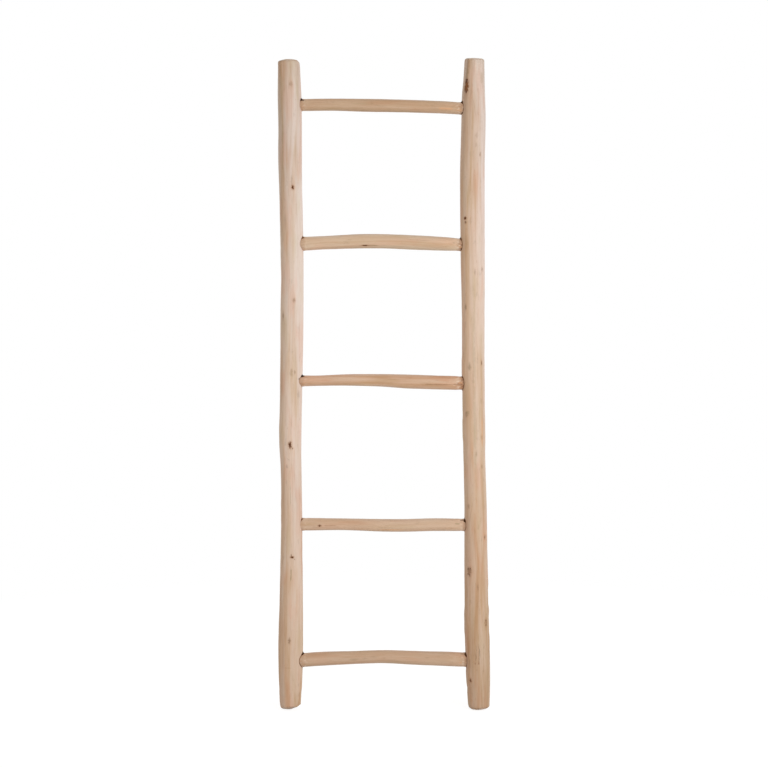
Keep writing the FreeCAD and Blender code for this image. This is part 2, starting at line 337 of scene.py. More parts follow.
# Glue squeezed out of each joint, darkened where it paints the shade of the gap round the tenon: size of
# the bead over the tenon in mm, how far in front of the top it sits in degrees, how dark it is as painted
# shade of the gap above the tenon, how dark the line is that runs round the rest of the mortise, also
# painted shade of the gap, the size of a second bead under the tenon, and how far the glue has stained
# the wood round it, from 0 to 1.
GLUE_AND_GAP_SHADE = {
    ("left_rail", "rung_1"): (3.4, 32, 1.00, 0.34, 0.0, 0.5),
    ("right_rail", "rung_1"): (2.6, 22, 0.88, 0.45, 0.9, 0.5),
    ("left_rail", "rung_2"): (2.6, 32, 0.52, 0.30, 0.0, 0.5),
    ("right_rail", "rung_2"): (1.8, 26, 0.60, 0.56, 0.9, 0.9),
    ("left_rail", "rung_3"): (3.6, 34, 1.00, 0.36, 0.4, 0.4),
    ("right_rail", "rung_3"): (1.9, 30, 0.64, 0.60, 0.6, 1.0),
    ("left_rail", "rung_4"): (1.8, 30, 0.46, 0.20, 0.0, 0.3),
    ("right_rail", "rung_4"): (3.1, 34, 0.86, 0.66, 0.0, 0.6),
    ("left_rail", "rung_5"): (3.0, 20, 0.92, 0.60, 0.0, 0.3),
    ("right_rail", "rung_5"): (2.6, 32, 0.72, 0.32, 0.6, 0.7),
}


# ---------------------------------------------------------------- reading a branch from its node


def eased_rows(places, rows, wanted):
    """Rows of values at the wanted places, on smooth curves through the rows that were read."""
    slopes = np.gradient(rows, places, axis=0)
    index = np.clip(np.searchsorted(places, wanted) - 1, 0, len(places) - 2)
    span = (places[index + 1] - places[index])[:, None]
    t = ((wanted - places[index])[:, None]) / span
    start, end = rows[index], rows[index + 1]
    slope_in, slope_out = slopes[index] * span, slopes[index + 1] * span
    rise = end - start
    return (
        start
        + slope_in * t
        + (3 * rise - 2 * slope_in - slope_out) * t**2
        + (slope_in + slope_out - 2 * rise) * t**3
    )


class Branch:
    """A branch's outer surface: a centre line, and the distance out to the bark side at each angle."""

    def __init__(self, name, along, side, up, angles):
        self.name = name
        self.along, self.side, self.up = along, side, up
        self.angle = np.arange(angles) * (2 * math.pi / angles)
        low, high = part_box(name)
        self.start = Vector(low).dot(along)
        self.end = Vector(high).dot(along)
        self.middle = (Vector(low) + Vector(high)) / 2
        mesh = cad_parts[name]
        self.tree = BVHTree.FromPolygons(
            [v.co for v in mesh.data.vertices], [p.vertices for p in mesh.data.polygons]
        )

    def out(self, angle):
        return self.side * math.cos(angle) + self.up * math.sin(angle)

    def hit(self, target, direction):
        """The outermost point of the node on the way in to a target."""
        return self.tree.ray_cast(target + direction * PROBE_REACH, -direction)[0]

    def read(self, places):
        """Measures the node's outline at each place along it."""
        centres, radii = [], []
        for place in places:
            target = self.middle + self.along * (place - self.middle.dot(self.along))
            for direction in (self.side, self.up, self.side, self.up):
                near, far = self.hit(target, -direction), self.hit(target, direction)
                target += direction * ((near + far) / 2 - target).dot(direction)
            centres.append((target.dot(self.side), target.dot(self.up)))
            radii.append([(self.hit(target, self.out(a)) - target).length for a in self.angle])
        self.places = np.array(places)
        self.centres = np.array(centres)
        self.radii = np.array(radii)

    def outline(self, wanted):
        """Centres and radii at the wanted places."""
        wanted = np.clip(np.asarray(wanted, float), self.places[0], self.places[-1])
        return eased_rows(self.places, self.centres, wanted), eased_rows(self.places, self.radii, wanted)

    def around(self, points):
        """Place along, angle and distance out of points in space."""
        place = points @ np.array(self.along)
        centres, radii = self.outline(place)
        a = points @ np.array(self.side) - centres[:, 0]
        b = points @ np.array(self.up) - centres[:, 1]
        return place, np.arctan2(b, a), np.hypot(a, b), radii.mean(axis=1)

    def middle_line(self, place):
        """The centre line's two offsets at any array of places."""
        centres, _ = self.outline(np.ravel(place))
        return centres.reshape(*np.shape(place), 2)

    def point(self, place, angle, lift=0.0):
        """A point on the surface, or above it by the lift."""
        centres, radii = self.outline([place])
        radius = np.interp(angle % (2 * math.pi), self.angle, radii[0], period=2 * math.pi)
        return (
            self.along * place
            + self.side * centres[0][0]
            + self.up * centres[0][1]
            + self.out(angle) * (radius + lift)
        )


def joint_places():
    """The height of each joint, by rail and rung, from the nail through it."""
    places = {}
    for nail in NAILS:
        _, number, side = nail.split("_")
        low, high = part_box(nail)
        places[side + "_rail", "rung_" + number] = (Vector(low) + Vector(high)) / 2
    return places


JOINTS = joint_places()
END_DEPTHS = (0.05, 0.3, 0.8, 1.5, 2.4, 3.6, 5.0, 6.6, 8.4, 11.0)  # mm in from an end, for its rounding
READ_STEP = 18.0
MORTISE_MARGIN = 24.0  # mm above and below a joint where the rail's side is cut open
NAIL_HOLE_MARGIN = 3.0


def read_rail(name):
    """A rail, with its angles counted from +X towards the back."""
    rail = Branch(name, Z, X, Y, RAIL_ANGLES)
    heights = [rail.start + d * MM for d in END_DEPTHS] + [rail.end - d * MM for d in END_DEPTHS]
    joints = [point.z for (name, _), point in JOINTS.items() if name == rail.name]
    last = rail.end - END_DEPTHS[-1] * MM
    height = rail.start + (END_DEPTHS[-1] + READ_STEP / 2) * MM
    while height < last - READ_STEP / 2 * MM:
        if all(abs(height - joint) > MORTISE_MARGIN * MM for joint in joints):
            heights.append(height)
        height += READ_STEP * MM
    rail.read(sorted(heights))
    return rail


def read_rung(name):
    """A rung, with its angles counted from the back towards the top."""
    rung = Branch(name, X, Y, Z, RUNG_ANGLES)
    count = round((rung.end - rung.start) / (READ_STEP / 2 * MM))
    places = np.linspace(rung.start + 0.1 * MM, rung.end - 0.1 * MM, count)
    holes = [point.x for (_, rung_name), point in JOINTS.items() if rung_name == name]
    rung.read([p for p in places if all(abs(p - hole) > NAIL_HOLE_MARGIN * MM for hole in holes)])
    return rung


# ---------------------------------------------------------------- working the surface


def smooth(value, low, high):
    """0 before the low end, 1 past the high end, and a soft step between, whichever end is larger."""
    t = np.clip((value - low) / (high - low), 0, 1)
    return t * t * (3 - 2 * t)


def around_from(angle, other):
    """The turn from one angle to another, between -pi and pi."""
    return np.angle(np.exp(1j * (angle - other)))


def spot(branch, middle, turn):
    """Where a listed knot, mark or crack lies: its place along the branch and its angle round it."""
    if branch.along == Z:
        return middle * MM, math.radians(turn - 90)
    return middle * MM, math.radians(180 - turn)


def by_quarter(values, angle):
    """A value that is known at angle 0, a quarter turn, a half turn and three quarters."""
    return np.interp(angle % (2 * math.pi), np.arange(5) * math.pi / 2, (*values, values[0]))


def from_knot(branch, knot, place, angle, radius):
    """Offsets from a knot across and along the branch, in the knot's own half sizes."""
    middle, turn, half_width, half_height, _ = knot
    along, around = spot(branch, middle, turn)
    across = around_from(angle, around) * radius
    return across / (half_width * MM), (place - along) / (half_height * MM)


def knot_relief(branch, place, angle, radius):
    """Low swellings round the knots, with a dip at each heart."""
    relief = np.zeros(place.shape)
    for knot in KNOTS[branch.name]:
        half_width, dark = knot[2], knot[4]
        distance = np.hypot(*from_knot(branch, knot, place, angle, radius))
        swell = 0.05 + 0.11 * half_width * (0.4 + 0.6 * dark)
        relief += swell * MM * np.exp(-((distance / 2.3) ** 2))
        relief -= dark * 0.13 * half_width * MM * np.exp(-((distance / 0.62) ** 2))
    return relief


def shaved_flats(rail, place, angle):
    """How deep the drawknife went in at each point."""
    depth = np.zeros(place.shape)
    for middle, half_length, turn, half_width, deep in SHAVED[rail.name]:
        along, around = spot(rail, middle, turn)
        across = around_from(angle, around) / math.radians(half_width)
        off = np.hypot((place - along) / (half_length * MM), across)
        depth += deep * MM * smooth(off, 1.0, 0.45)
    return depth


def off_mortise(rail, rung_name, place, angle, radius):
    """How far each point of a rail's surface is from the mouth of a mortise. Far on the outer side."""
    centre = MORTISES[rail.name, rung_name]
    middle = rail.middle_line(place)
    across, up = np.sin(angle) * radius + middle[..., 1] - centre.y, place - centre.z
    off = np.hypot(across, up) - mortise_radius(rail.name, rung_name, np.arctan2(up, across))
    facing = np.cos(angle) * INWARD[rail.name] > 0
    return np.where(facing, off, 1.0)


def rim_wear(rail, place, angle, radius):
    """The rail's surface sinks a little at the mouths of its mortises."""
    sunk = np.zeros(place.shape)
    for rung_name in RUNGS:
        off = off_mortise(rail, rung_name, place, angle, radius)
        sunk += RIM_WEAR * MM * np.exp(-np.maximum(off, 0) / (RIM_WEAR_REACH / 2 * MM))
    return sunk


def out_of_rails(rung_name, place):
    """How far a place on a rung is outside its nearer rail, and which side that is."""
    left = place - MOUTHS["left_rail", rung_name]
    right = MOUTHS["right_rail", rung_name] - place
    return np.minimum(left, right), left < right


def flattened(angle, radius, share):
    """A round outline pressed to a share of its depth from front to back. The angles start at the back."""
    return radius / np.hypot(np.cos(angle) / share, np.sin(angle))


def mortise_radius(rail_name, rung_name, angle):
    """How far a mortise's wall is from the middle of its tenon."""
    rung, mouth = RUNG_BRANCHES[rung_name], MOUTHS[rail_name, rung_name]
    inside = [mouth - INWARD[rail_name] * depth * MM for depth in (0, 12, 24)]
    radii = rung.outline(inside)[1].max(axis=0)
    tenon = np.interp(np.asarray(angle) % (2 * math.pi), rung.angle, radii, period=2 * math.pi)
    play = TENON_PLAY + TOP_PLAY * np.maximum(np.sin(angle), 0) ** 2
    return flattened(angle, tenon, TENON_DEPTHS[rail_name, rung_name]) + play * MM


def slimmed(rung, place, angle, radii):
    """A rung thins from front to back on the way to its mortises."""
    outside, on_left = out_of_rails(rung.name, place)
    left, right = (TENON_DEPTHS[rail_name, rung.name] for rail_name in RAILS)
    share = 1 - smooth(outside, TENON_REACH * MM, 0.0) * (1 - np.where(on_left, left, right))
    return flattened(angle, radii, share)


def whittled(rung, place, angle, radii):
    """Flats cut round the rung's ends by the knife, so that they fit the mortises."""
    outside, on_left = out_of_rails(rung.name, place)
    fade = smooth(outside, WHITTLED_REACH * MM, 0.0)
    for is_left, (strength, flats) in zip((True, False), WHITTLING[rung.name]):
        sector = 2 * math.pi / flats
        across_flat = (angle + 0.35 * flats) % sector - sector / 2
        # a flat lies closer in than the round at its middle, and meets the next one at a low ridge
        flat = (1 - WHITTLED_DEPTH * strength) / np.cos(across_flat)
        radii = np.where(on_left == is_left, radii * (1 - fade * (1 - np.minimum(flat, 1.0))), radii)
    return radii


# ---------------------------------------------------------------- meshes


class Grid:
    """Rings of points along a branch, and the shares of the outline that fill its two end faces."""

    def __init__(self, branch, places, shrinkage):
        self.branch = branch
        shape = (len(places), len(branch.angle))
        self.place = np.broadcast_to(np.asarray(places)[:, None], shape).copy()
        self.angle = np.broadcast_to(branch.angle[None, :], shape).copy()
        self.centre, self.radius = branch.outline(places)
        self.radius = self.radius - shrinkage
        self.start_lift = np.zeros(shape[1])
        self.start_flat = 3.0
        self.end_lift = np.zeros(shape[1])

    def ring(self, place, centre, radius):
        branch = self.branch
        along, side, up = (np.array(v) for v in (branch.along, branch.side, branch.up))
        a = centre[0] + radius * np.cos(branch.angle)
        b = centre[1] + radius * np.sin(branch.angle)
        return np.outer(place, along) + np.outer(a, side) + np.outer(b, up)

    def end_rings(self, row, lift, power):
        """Rings that close an end. The lift is how far the rim lies from the middle, and a higher power
        keeps more of the middle flat."""
        rings = []
        for share in CAP_SHARES:
            place = self.place[row] - lift * (1 - share**power)
            rings.append(self.ring(place, self.centre[row], share * self.radius[row]))
        return rings

    def mesh(self, name):
        rows = list(reversed(self.end_rings(0, self.start_lift, self.start_flat)))
        rows += [self.ring(*ring) for ring in zip(self.place, self.centre, self.radius)]
        rows += self.end_rings(-1, self.end_lift, 2.0)
        count = len(self.branch.angle)
        points = np.concatenate(rows + [rows[0].mean(axis=0)[None], rows[-1].mean(axis=0)[None]])
        first, last = len(points) - 2, len(points) - 1
        step = np.arange(count)
        following = (step + 1) % count
        faces = []
        for row in range(len(rows) - 1):
            low, high = row * count, (row + 1) * count
            faces += np.stack([low + step, low + following, high + following, high + step], axis=1).tolist()
        top = (len(rows) - 1) * count
        faces += np.stack([following, step, np.full(count, first)], axis=1).tolist()
        faces += np.stack([top + step, top + following, np.full(count, last)], axis=1).tolist()
        mesh = bpy.data.meshes.new(name)
        mesh.from_pydata(points.tolist(), [], faces)
        mesh.update()
        make_outward(mesh)
        return add_piece(name, mesh)


def add_piece(name, mesh):
    """Puts a mesh in the scene as an object of its own."""
    piece = bpy.data.objects.new(name, mesh)
    bpy.context.collection.objects.link(piece)
    return piece


def make_outward(mesh):
    """Turns every face of a mesh outward."""
    bm = bmesh.new()
    bm.from_mesh(mesh)
    bmesh.ops.recalc_face_normals(bm, faces=bm.faces)
    bm.to_mesh(mesh)
    bm.free()


def rail_places(rail):
    """Ring heights: close together over the rounded ends, even along the rest."""
    foot = [rail.start + d * MM for d in END_DEPTHS]
    top = [rail.end - d * MM for d in reversed(END_DEPTHS)]
    count = round((top[0] - foot[-1]) / (RAIL_STEP * MM))
    return np.array(foot + list(np.linspace(foot[-1], top[0], count + 1)[1:-1]) + top)


def top_fall(rail, angle):
    """How far the top's rim lies below the crown at each angle, with its nicks."""
    shape = TOPS[rail.name]
    fall = by_quarter(shape["fall"], angle) * MM
    for turn, half_width, depth in shape["nicks"]:
        _, around = spot(rail, 0, turn)
        off = np.abs(around_from(angle, around)) / math.radians(half_width)
        fall = fall + depth * MM * smooth(off, 1.0, 0.2)
    return fall


def foot_rise(rail, angle):
    """How far the foot's worn and frayed rim lies above the floor at each angle."""
    shape = FEET[rail.name]
    chips, frays = foot_chips(angle), foot_frays(angle)
    rise = by_quarter(shape["rise"], angle) * MM + shape["ragged"] * MM * (1.6 * chips + frays)
    return np.maximum(rise, 0.2 * MM)


def foot_chips(angle):
    """Chips broken out of the foot's rim, wide ones and small ones."""
    wide = np.maximum(np.sin(angle * 7 + 2.1) * np.sin(angle * 4 - 0.8), 0)
    return wide + 0.5 * np.maximum(np.sin(angle * 13), 0)


def foot_frays(angle):
    """The ups and downs of the frayed fibres round the foot's rim."""
    return 0.35 * np.sin(angle * 23 + 1.7 * np.sin(angle * 5)) + 0.2 * np.sin(angle * 41 + 0.6)


def shape_top(grid):
    """Rounds the top over, from its crown down to a rim that is crisp or worn."""
    rail = grid.branch
    shape = TOPS[rail.name]
    below = rail.end - grid.place
    full = rail.outline([rail.end - END_DEPTHS[-1] * MM])[1] - SHRINKAGE["rail"] * MM
    crisp = shape["crisp"] * (below < END_DEPTHS[-1] * MM)
    grid.radius = grid.radius * (1 - crisp) + full * crisp
    grid.radius = grid.radius - TOP_BEVEL_SLOPE * np.clip(TOP_BEVEL * MM - below, 0, None)
    crown = rail.end + shape["crown"] * MM
    reach = smooth(below, TOP_SHIFT_REACH * MM, 0.0)
    grid.place = grid.place + (shape["crown"] * MM - top_fall(rail, rail.angle)) * reach
    grid.end_lift = grid.place[-1] - crown


def shape_foot(grid):
    """Wears the foot's rim up off the floor and frays it. The middle still stands on the floor."""
    rail = grid.branch
    shape = FEET[rail.name]
    above = grid.place - rail.start
    loss = 0.5 + foot_frays(rail.angle) + 0.5 * foot_chips(rail.angle)
    grid.radius = grid.radius - shape["ragged"] * MM * loss * np.exp(-above / (FOOT_FRAY_REACH * MM))
    grid.radius = grid.radius - FOOT_BEVEL_SLOPE * np.clip(shape["bevel"] * MM - above, 0, None)
    grid.place = grid.place + foot_rise(rail, rail.angle) * smooth(above, FOOT_SHIFT_REACH * MM, 0.0)
    grid.start_lift = grid.place[0] - rail.start
    grid.start_flat = shape["flat"]


def make_rail(rail):
    grid = Grid(rail, rail_places(rail), SHRINKAGE["rail"] * MM)
    shape_top(grid)
    shape_foot(grid)
    height, angle = grid.place, grid.angle
    grid.radius = grid.radius + knot_relief(rail, height, angle, grid.radius)
    grid.radius = grid.radius - shaved_flats(rail, height, angle)
    grid.radius = grid.radius - rim_wear(rail, height, angle, grid.radius)
    return grid.mesh(rail.name + "_branch")


def make_rung(rung):
    count = round((rung.end - rung.start) / (RUNG_STEP * MM))
    grid = Grid(rung, np.linspace(rung.start, rung.end, count), 0.0)
    place, angle = grid.place, grid.angle
    outside, _ = out_of_rails(rung.name, place)
    grid.radius = grid.radius - SHRINKAGE["rung"] * MM * smooth(outside, -1 * MM, 7 * MM)
    grid.radius = grid.radius + knot_relief(rung, place, angle, grid.radius)
    grid.radius = slimmed(rung, place, angle, grid.radius)
    grid.radius = whittled(rung, place, angle, grid.radius)
    return grid.mesh(rung.name + "_branch")


# ---------------------------------------------------------------- geometry nodes


class Nodes:
    """A node tree, built a node at a time."""

    def __init__(self, tree):
        self.tree = tree

    def node(self, kind, links=None, **settings):
        made = self.tree.nodes.new(kind)
        for key, value in settings.items():
            setattr(made, key, value)
        for key, value in (links or {}).items():
            self.feed(made.inputs[key], value)
        return made

    def feed(self, socket, value):
        """Gives an input another node's output, or a plain value."""
        if hasattr(value, "is_output"):
            self.tree.links.new(value, socket)
        else:
            socket.default_value = value

    def math(self, operation, *values, clamp=False):
        made = self.node("ShaderNodeMath", operation=operation, use_clamp=clamp)
        for socket, value in zip(made.inputs, values):
            self.feed(socket, value)
        return made.outputs[0]

    def mix(self, factor, a, b, blend="MIX"):
        made = self.node("ShaderNodeMix", data_type="RGBA", blend_type=blend)
        self.feed(made.inputs["Factor"], factor)
        self.feed(made.inputs[6], a)
        self.feed(made.inputs[7], b)
        return made.outputs[2]


class Tree(Nodes):
    """A geometry node group with named inputs."""

    def __init__(self, name):
        super().__init__(bpy.data.node_groups.new(name, "GeometryNodeTree"))
        self.socket("Geometry", "NodeSocketGeometry")
        self.tree.interface.new_socket("Geometry", in_out="OUTPUT", socket_type="NodeSocketGeometry")
        self.input = self.tree.nodes.new("NodeGroupInput")
        self.output = self.tree.nodes.new("NodeGroupOutput")

    def socket(self, name, kind):
        self.tree.interface.new_socket(name, in_out="INPUT", socket_type=kind)

    def take(self, name):
        return self.input.outputs[name]

    def finish(self, geometry, material):
        made = self.node("GeometryNodeRealizeInstances", {"Geometry": geometry})
        links = {"Geometry": made.outputs[0], "Material": material}
        painted = self.node("GeometryNodeSetMaterial", links)
        self.feed(self.output.inputs["Geometry"], painted.outputs[0])
        return self.tree
def worked_surface_tree():
    """Flutes that run with the grain, and slower ripples, pressed into a branch along its normals."""
    tree = Tree("worked_surface")
    for name in ("Flute Depth", "Flute Width", "Flute Length", "Ripple Height", "Ripple Length", "Seed"):
        tree.socket(name, "NodeSocketFloat")
    tree.socket("Material", "NodeSocketMaterial")
    grain = tree.node("GeometryNodeInputNamedAttribute", {"Name": "grain"}, data_type="FLOAT_VECTOR")
    side = tree.node("GeometryNodeInputNamedAttribute", {"Name": "bark_side"}, data_type="FLOAT")
    parts = tree.node("ShaderNodeSeparateXYZ", {"Vector": grain.outputs["Attribute"]})

    def waves(width, length, seed_step, detail):
        scaled = tree.node(
            "ShaderNodeCombineXYZ",
            {
                "X": tree.math("DIVIDE", parts.outputs["X"], width),
                "Y": tree.math("DIVIDE", parts.outputs["Y"], width),
                "Z": tree.math("DIVIDE", parts.outputs["Z"], length),
            },
        )
        noise = tree.node(
            "ShaderNodeTexNoise",
            {
                "Vector": scaled.outputs[0],
                "W": tree.math("ADD", tree.take("Seed"), seed_step),
                "Scale": 1.0,
                "Detail": detail,
                "Roughness": 0.5,
            },
            noise_dimensions="4D",
        )
        return tree.math("SUBTRACT", noise.outputs[0], 0.5)

    flutes = waves(tree.take("Flute Width"), tree.take("Flute Length"), 0.0, 1.0)
    ripples = waves(tree.take("Ripple Length"), tree.take("Ripple Length"), 7.0, 2.0)
    height = tree.math(
        "ADD",
        tree.math("MULTIPLY", flutes, tree.math("MULTIPLY", tree.take("Flute Depth"), 3.0)),
        tree.math("MULTIPLY", ripples, tree.math("MULTIPLY", tree.take("Ripple Height"), 3.0)),
    )
    height = tree.math("MULTIPLY", height, side.outputs["Attribute"])
    normal = tree.node("GeometryNodeInputNormal")
    offset = tree.node("ShaderNodeVectorMath", operation="SCALE")
    tree.feed(offset.inputs["Vector"], normal.outputs[0])
    tree.feed(offset.inputs["Scale"], height)
    moved = tree.node(
        "GeometryNodeSetPosition", {"Geometry": tree.take("Geometry"), "Offset": offset.outputs[0]}
    )
    return tree.finish(moved.outputs[0], tree.take("Material"))


NAIL_RINGS = 260
NAIL_ANGLES = 20


def nails_tree():
    """One nail at every point: a profile that flares at the head and tapers to the point."""
    tree = Tree("nails")
    tree.socket("Nail Length", "NodeSocketFloat")
    tree.socket("Head Radius", "NodeSocketFloat")
    tree.socket("Material", "NodeSocketMaterial")
    # share of the length from the head's crown, and share of the head's radius
    profile = [
        (0.0, 0.55),
        (0.004, 0.86),
        (0.010, 0.98),
        (0.020, 1.0),
        (0.027, 0.93),
        (0.036, 0.50),
        (0.050, 0.44),
        (0.880, 0.44),
        (0.895, 0.40),
        (1.0, 0.02),
    ]
    length = tree.math("MULTIPLY", tree.take("Nail Length"), -1.0)
    end = tree.node("ShaderNodeCombineXYZ", {"Y": length})
    line = tree.node("GeometryNodeCurvePrimitiveLine", {"Start": (0, 0, 0), "End": end.outputs[0]})
    fine = tree.node("GeometryNodeResampleCurve", {"Curve": line.outputs[0], "Count": NAIL_RINGS})
    factor = tree.node("GeometryNodeSplineParameter").outputs["Factor"]
    shape = tree.node("ShaderNodeFloatCurve", {"Value": factor})
    curve = shape.mapping.curves[0]
    curve.points[0].location = profile[0]
    curve.points[-1].location = profile[-1]
    for point in profile[1:-1]:
        curve.points.new(*point)
    for point in curve.points:
        point.handle_type = "VECTOR"
    shape.mapping.update()
    radius = tree.math("MULTIPLY", shape.outputs[0], tree.take("Head Radius"))
    rings = tree.node("GeometryNodeSetCurveRadius", {"Curve": fine.outputs[0], "Radius": radius})
    circle = tree.node("GeometryNodeCurvePrimitiveCircle", {"Resolution": NAIL_ANGLES, "Radius": 1.0})
    solid = tree.node(
        "GeometryNodeCurveToMesh",
        {"Curve": rings.outputs[0], "Profile Curve": circle.outputs[0], "Fill Caps": True},
    )
    if "Scale" in solid.inputs:
        tree.feed(solid.inputs["Scale"], radius)
    placed = tree.node(
        "GeometryNodeInstanceOnPoints", {"Points": tree.take("Geometry"), "Instance": solid.outputs[0]}
    )
    return tree.finish(placed.outputs[0], tree.take("Material"))


def apply_tree(piece, group, values):
    """Runs a node group on a piece, and leaves the result as its plain mesh."""
    modifier = piece.modifiers.new("nodes", "NODES")
    modifier.node_group = group
    for item in group.interface.items_tree:
        if item.in_out == "INPUT" and item.name in values:
            modifier[item.identifier] = values[item.name]
    settle(piece)


def settle(piece):
    """Applies whatever modifiers a piece has."""
    depsgraph = bpy.context.evaluated_depsgraph_get()
    mesh = bpy.data.meshes.new_from_object(piece.evaluated_get(depsgraph), depsgraph=depsgraph)
    piece.modifiers.clear()
    old = piece.data
    piece.data = mesh
    bpy.data.meshes.remove(old)


# ---------------------------------------------------------------- attributes for the finish


FAR_MARK = 6.0  # half sizes: where no mark is near
FAR_KNOT = 9.0


def knot_layers(name):
    """A branch's knots in three layers, so that two close ones are never in the same layer."""
    knots = sorted(KNOTS[name])
    tight = [knot for knot in knots if knot[2] < OPEN_KNOT_SIZE]
    return {
        "open_knot": [knot for knot in knots if knot[2] >= OPEN_KNOT_SIZE],
        "tight_knot": tight[::2],
        "next_knot": tight[1::2],
    }


def nearest_spot(offsets, strengths, shape, far):
    """For each point, its offsets from the nearest of several spots, and that spot's strength."""
    best = np.full(shape, far)
    result = np.stack([np.full(shape, far), np.full(shape, far), np.zeros(shape)], axis=-1)
    for (u, v), strength in zip(offsets, strengths):
        distance = np.hypot(u, v)
        nearer = distance < best
        best = np.where(nearer, distance, best)
        result[nearer] = np.stack([u, v, np.full(shape, strength)], axis=-1)[nearer]
    return result


def mark_offsets(branch, mark, place, angle, radius):
    """Offsets from a mark across and along it, in its own half sizes."""
    middle, turn, length, width, lean, _ = mark
    along, around = spot(branch, middle, turn)
    across = around_from(angle, around) * radius
    up = place - along
    tilt = math.radians(lean)
    u = (across * math.cos(tilt) - up * math.sin(tilt)) / (width / 2 * MM)
    v = (across * math.sin(tilt) + up * math.cos(tilt)) / (length / 2 * MM)
    return u, v


def end_edge_shades(rail, place, angle):
    """Where shade is painted along the edges of the bevels at a rail's two ends: 1 there, and 0 away from
    them.
    """
    top = rail.end + TOPS[rail.name]["crown"] * MM - top_fall(rail, angle) - TOP_BEVEL * MM
    foot = rail.start + foot_rise(rail, angle) + FEET[rail.name]["bevel"] * MM
    near_top = np.exp(-(((place - top) / (0.8 * MM)) ** 2)) * by_quarter(TOPS[rail.name]["edge"], angle)
    near_foot = np.exp(-(((place - foot) / (1.0 * MM)) ** 2))
    return np.maximum(near_top, near_foot)


def write_attributes(piece, branch):
    """Notes at every point of the mesh how the grain runs there, and what lies near it.

    grain is the place across and along the branch, pushed aside by the knots. bark_side is 1 at the
    surface and 0 inside, and from_heart goes from 0 at the heart to 1. rim is the glue's stain round a
    joint, fresh_cut is torn or whittled wood, and the end edge value is painted shade along the edges of
    the bevels at a rail's two ends. The marks and knots are noted as offsets from the nearest one, with its
    strength.
    """
    mesh = piece.data
    points = np.empty(len(mesh.vertices) * 3)
    mesh.vertices.foreach_get("co", points)
    points = points.reshape(-1, 3)
    place, angle, out, radius = branch.around(points)

    swirl = np.zeros(place.shape)
    for knot in KNOTS[branch.name]:
        u, v = from_knot(branch, knot, place, angle, radius)
        reach = np.exp(-((u / 1.9) ** 2) - (v / 2.6) ** 2)
        swirl -= 0.9 * u * knot[2] * MM * reach * min(1, 0.4 + knot[4])
    turned = angle + swirl / radius
    depth = np.clip(out / radius, 0, 1.2)
    if branch.along == Z:
        rim = np.zeros(place.shape)
        for name in RUNGS:
            near = smooth(off_mortise(branch, name, place, angle, radius), 3.5 * MM, 0.0)
            rim = np.maximum(rim, near * GLUE_AND_GAP_SHADE[branch.name, name][-1])
        fresh = smooth(place, branch.start + 7 * MM, branch.start + 2 * MM) * FEET[branch.name]["ragged"]
        edge = end_edge_shades(branch, place, angle)
    else:
        outside, on_left = out_of_rails(branch.name, place)
        (left, _), (right, _) = WHITTLING[branch.name]
        stains = [GLUE_AND_GAP_SHADE[rail_name, branch.name][-1] for rail_name in RAILS]
        rim = smooth(outside, 6.0 * MM, 0.0) * np.where(on_left, *stains)
        fresh = smooth(outside, WHITTLED_REACH * MM, 4 * MM) * np.where(on_left, left, right)
        edge = np.zeros(place.shape)
    values = {
        "grain": np.stack([out * np.cos(turned), out * np.sin(turned), place], axis=1),
        "bark_side": smooth(depth, 0.86, 0.95),
        "from_heart": depth,
        "rim": rim,
        "fresh_cut": fresh,
        "end_edge": edge,
    }
    for kind, marks in MARKS.items():
        own = marks[branch.name]
        offsets = [mark_offsets(branch, mark, place, angle, radius) for mark in own]
        values[kind] = nearest_spot(offsets, [mark[-1] for mark in own], place.shape, FAR_MARK)
    for layer, knots in knot_layers(branch.name).items():
        offsets = [from_knot(branch, knot, place, angle, radius) for knot in knots]
        values[layer] = nearest_spot(offsets, [knot[-1] for knot in knots], place.shape, FAR_KNOT)
    for name, value in values.items():
        if name in mesh.attributes:
            mesh.attributes.remove(mesh.attributes[name])
        kind = "FLOAT_VECTOR" if value.ndim == 2 else "FLOAT"
        made = mesh.attributes.new(name, kind, "POINT")
        made.data.foreach_set("vector" if value.ndim == 2 else "value", value.astype(np.float32).ravel())


# ---------------------------------------------------------------- cutters


NAIL_TO_PROBE = 6.0  # mm beside the nail, where the mortise's floor is measured
MORTISE_ANGLES = 72
MORTISE_RINGS = 16
CUTTER_OVERRUN = 14.0  # mm that a mortise's cutter stands out of the rail
CRACK_STEP = 4.0  # mm
CRACK_RADIUS = 0.02  # metres: a branch's radius, near enough to turn a width into an angle
CRACK_END_SHARE = 0.04  # how far a crack is open at its two ends
CRACK_LIFT = 1.2  # mm that a crack's cutter stands out of the wood
CRACK_FLOOR = 0.1  # mm: how deep a crack is at its two ends
NAIL_RECESS_ANGLES = 28
NAIL_RECESS_PLAY = 0.25  # mm round the head
NAIL_RECESS_DEPTH = 1.1  # mm below the head's crown
NAIL_RECESS_OVERRUN = 6.0  # mm that the recess's cutter stands out of the wood


def measure_joints():
    """The middles of the mortises' floors and the places of their mouths, from the nodes."""
    mortises, mouths = {}, {}
    for (rail_name, rung_name), nail in JOINTS.items():
        rail = RAIL_BRANCHES[rail_name]
        inward = INWARD[rail_name]
        probe = Vector((nail.x + inward * NAIL_TO_PROBE * MM, nail.y, nail.z))
        middle = rung_axis(RUNG_BRANCHES[rung_name], probe.x)
        floor = rail.tree.ray_cast(middle, -X * inward)[0].x
        mortises[rail_name, rung_name] = Vector((floor, middle.y, middle.z))
        facing = 0.0 if inward > 0 else math.pi
        mouths[rail_name, rung_name] = rail.point(middle.z, facing).x
    return mortises, mouths


def rung_axis(rung, place):
    """The middle of a rung's outline at a place along it."""
    centres, _ = rung.outline([place])
    return Vector((place, centres[0][0], centres[0][1]))


def turns(steps):
    """Angles evenly spaced round a circle."""
    return [2 * math.pi * step / steps for step in range(steps)]


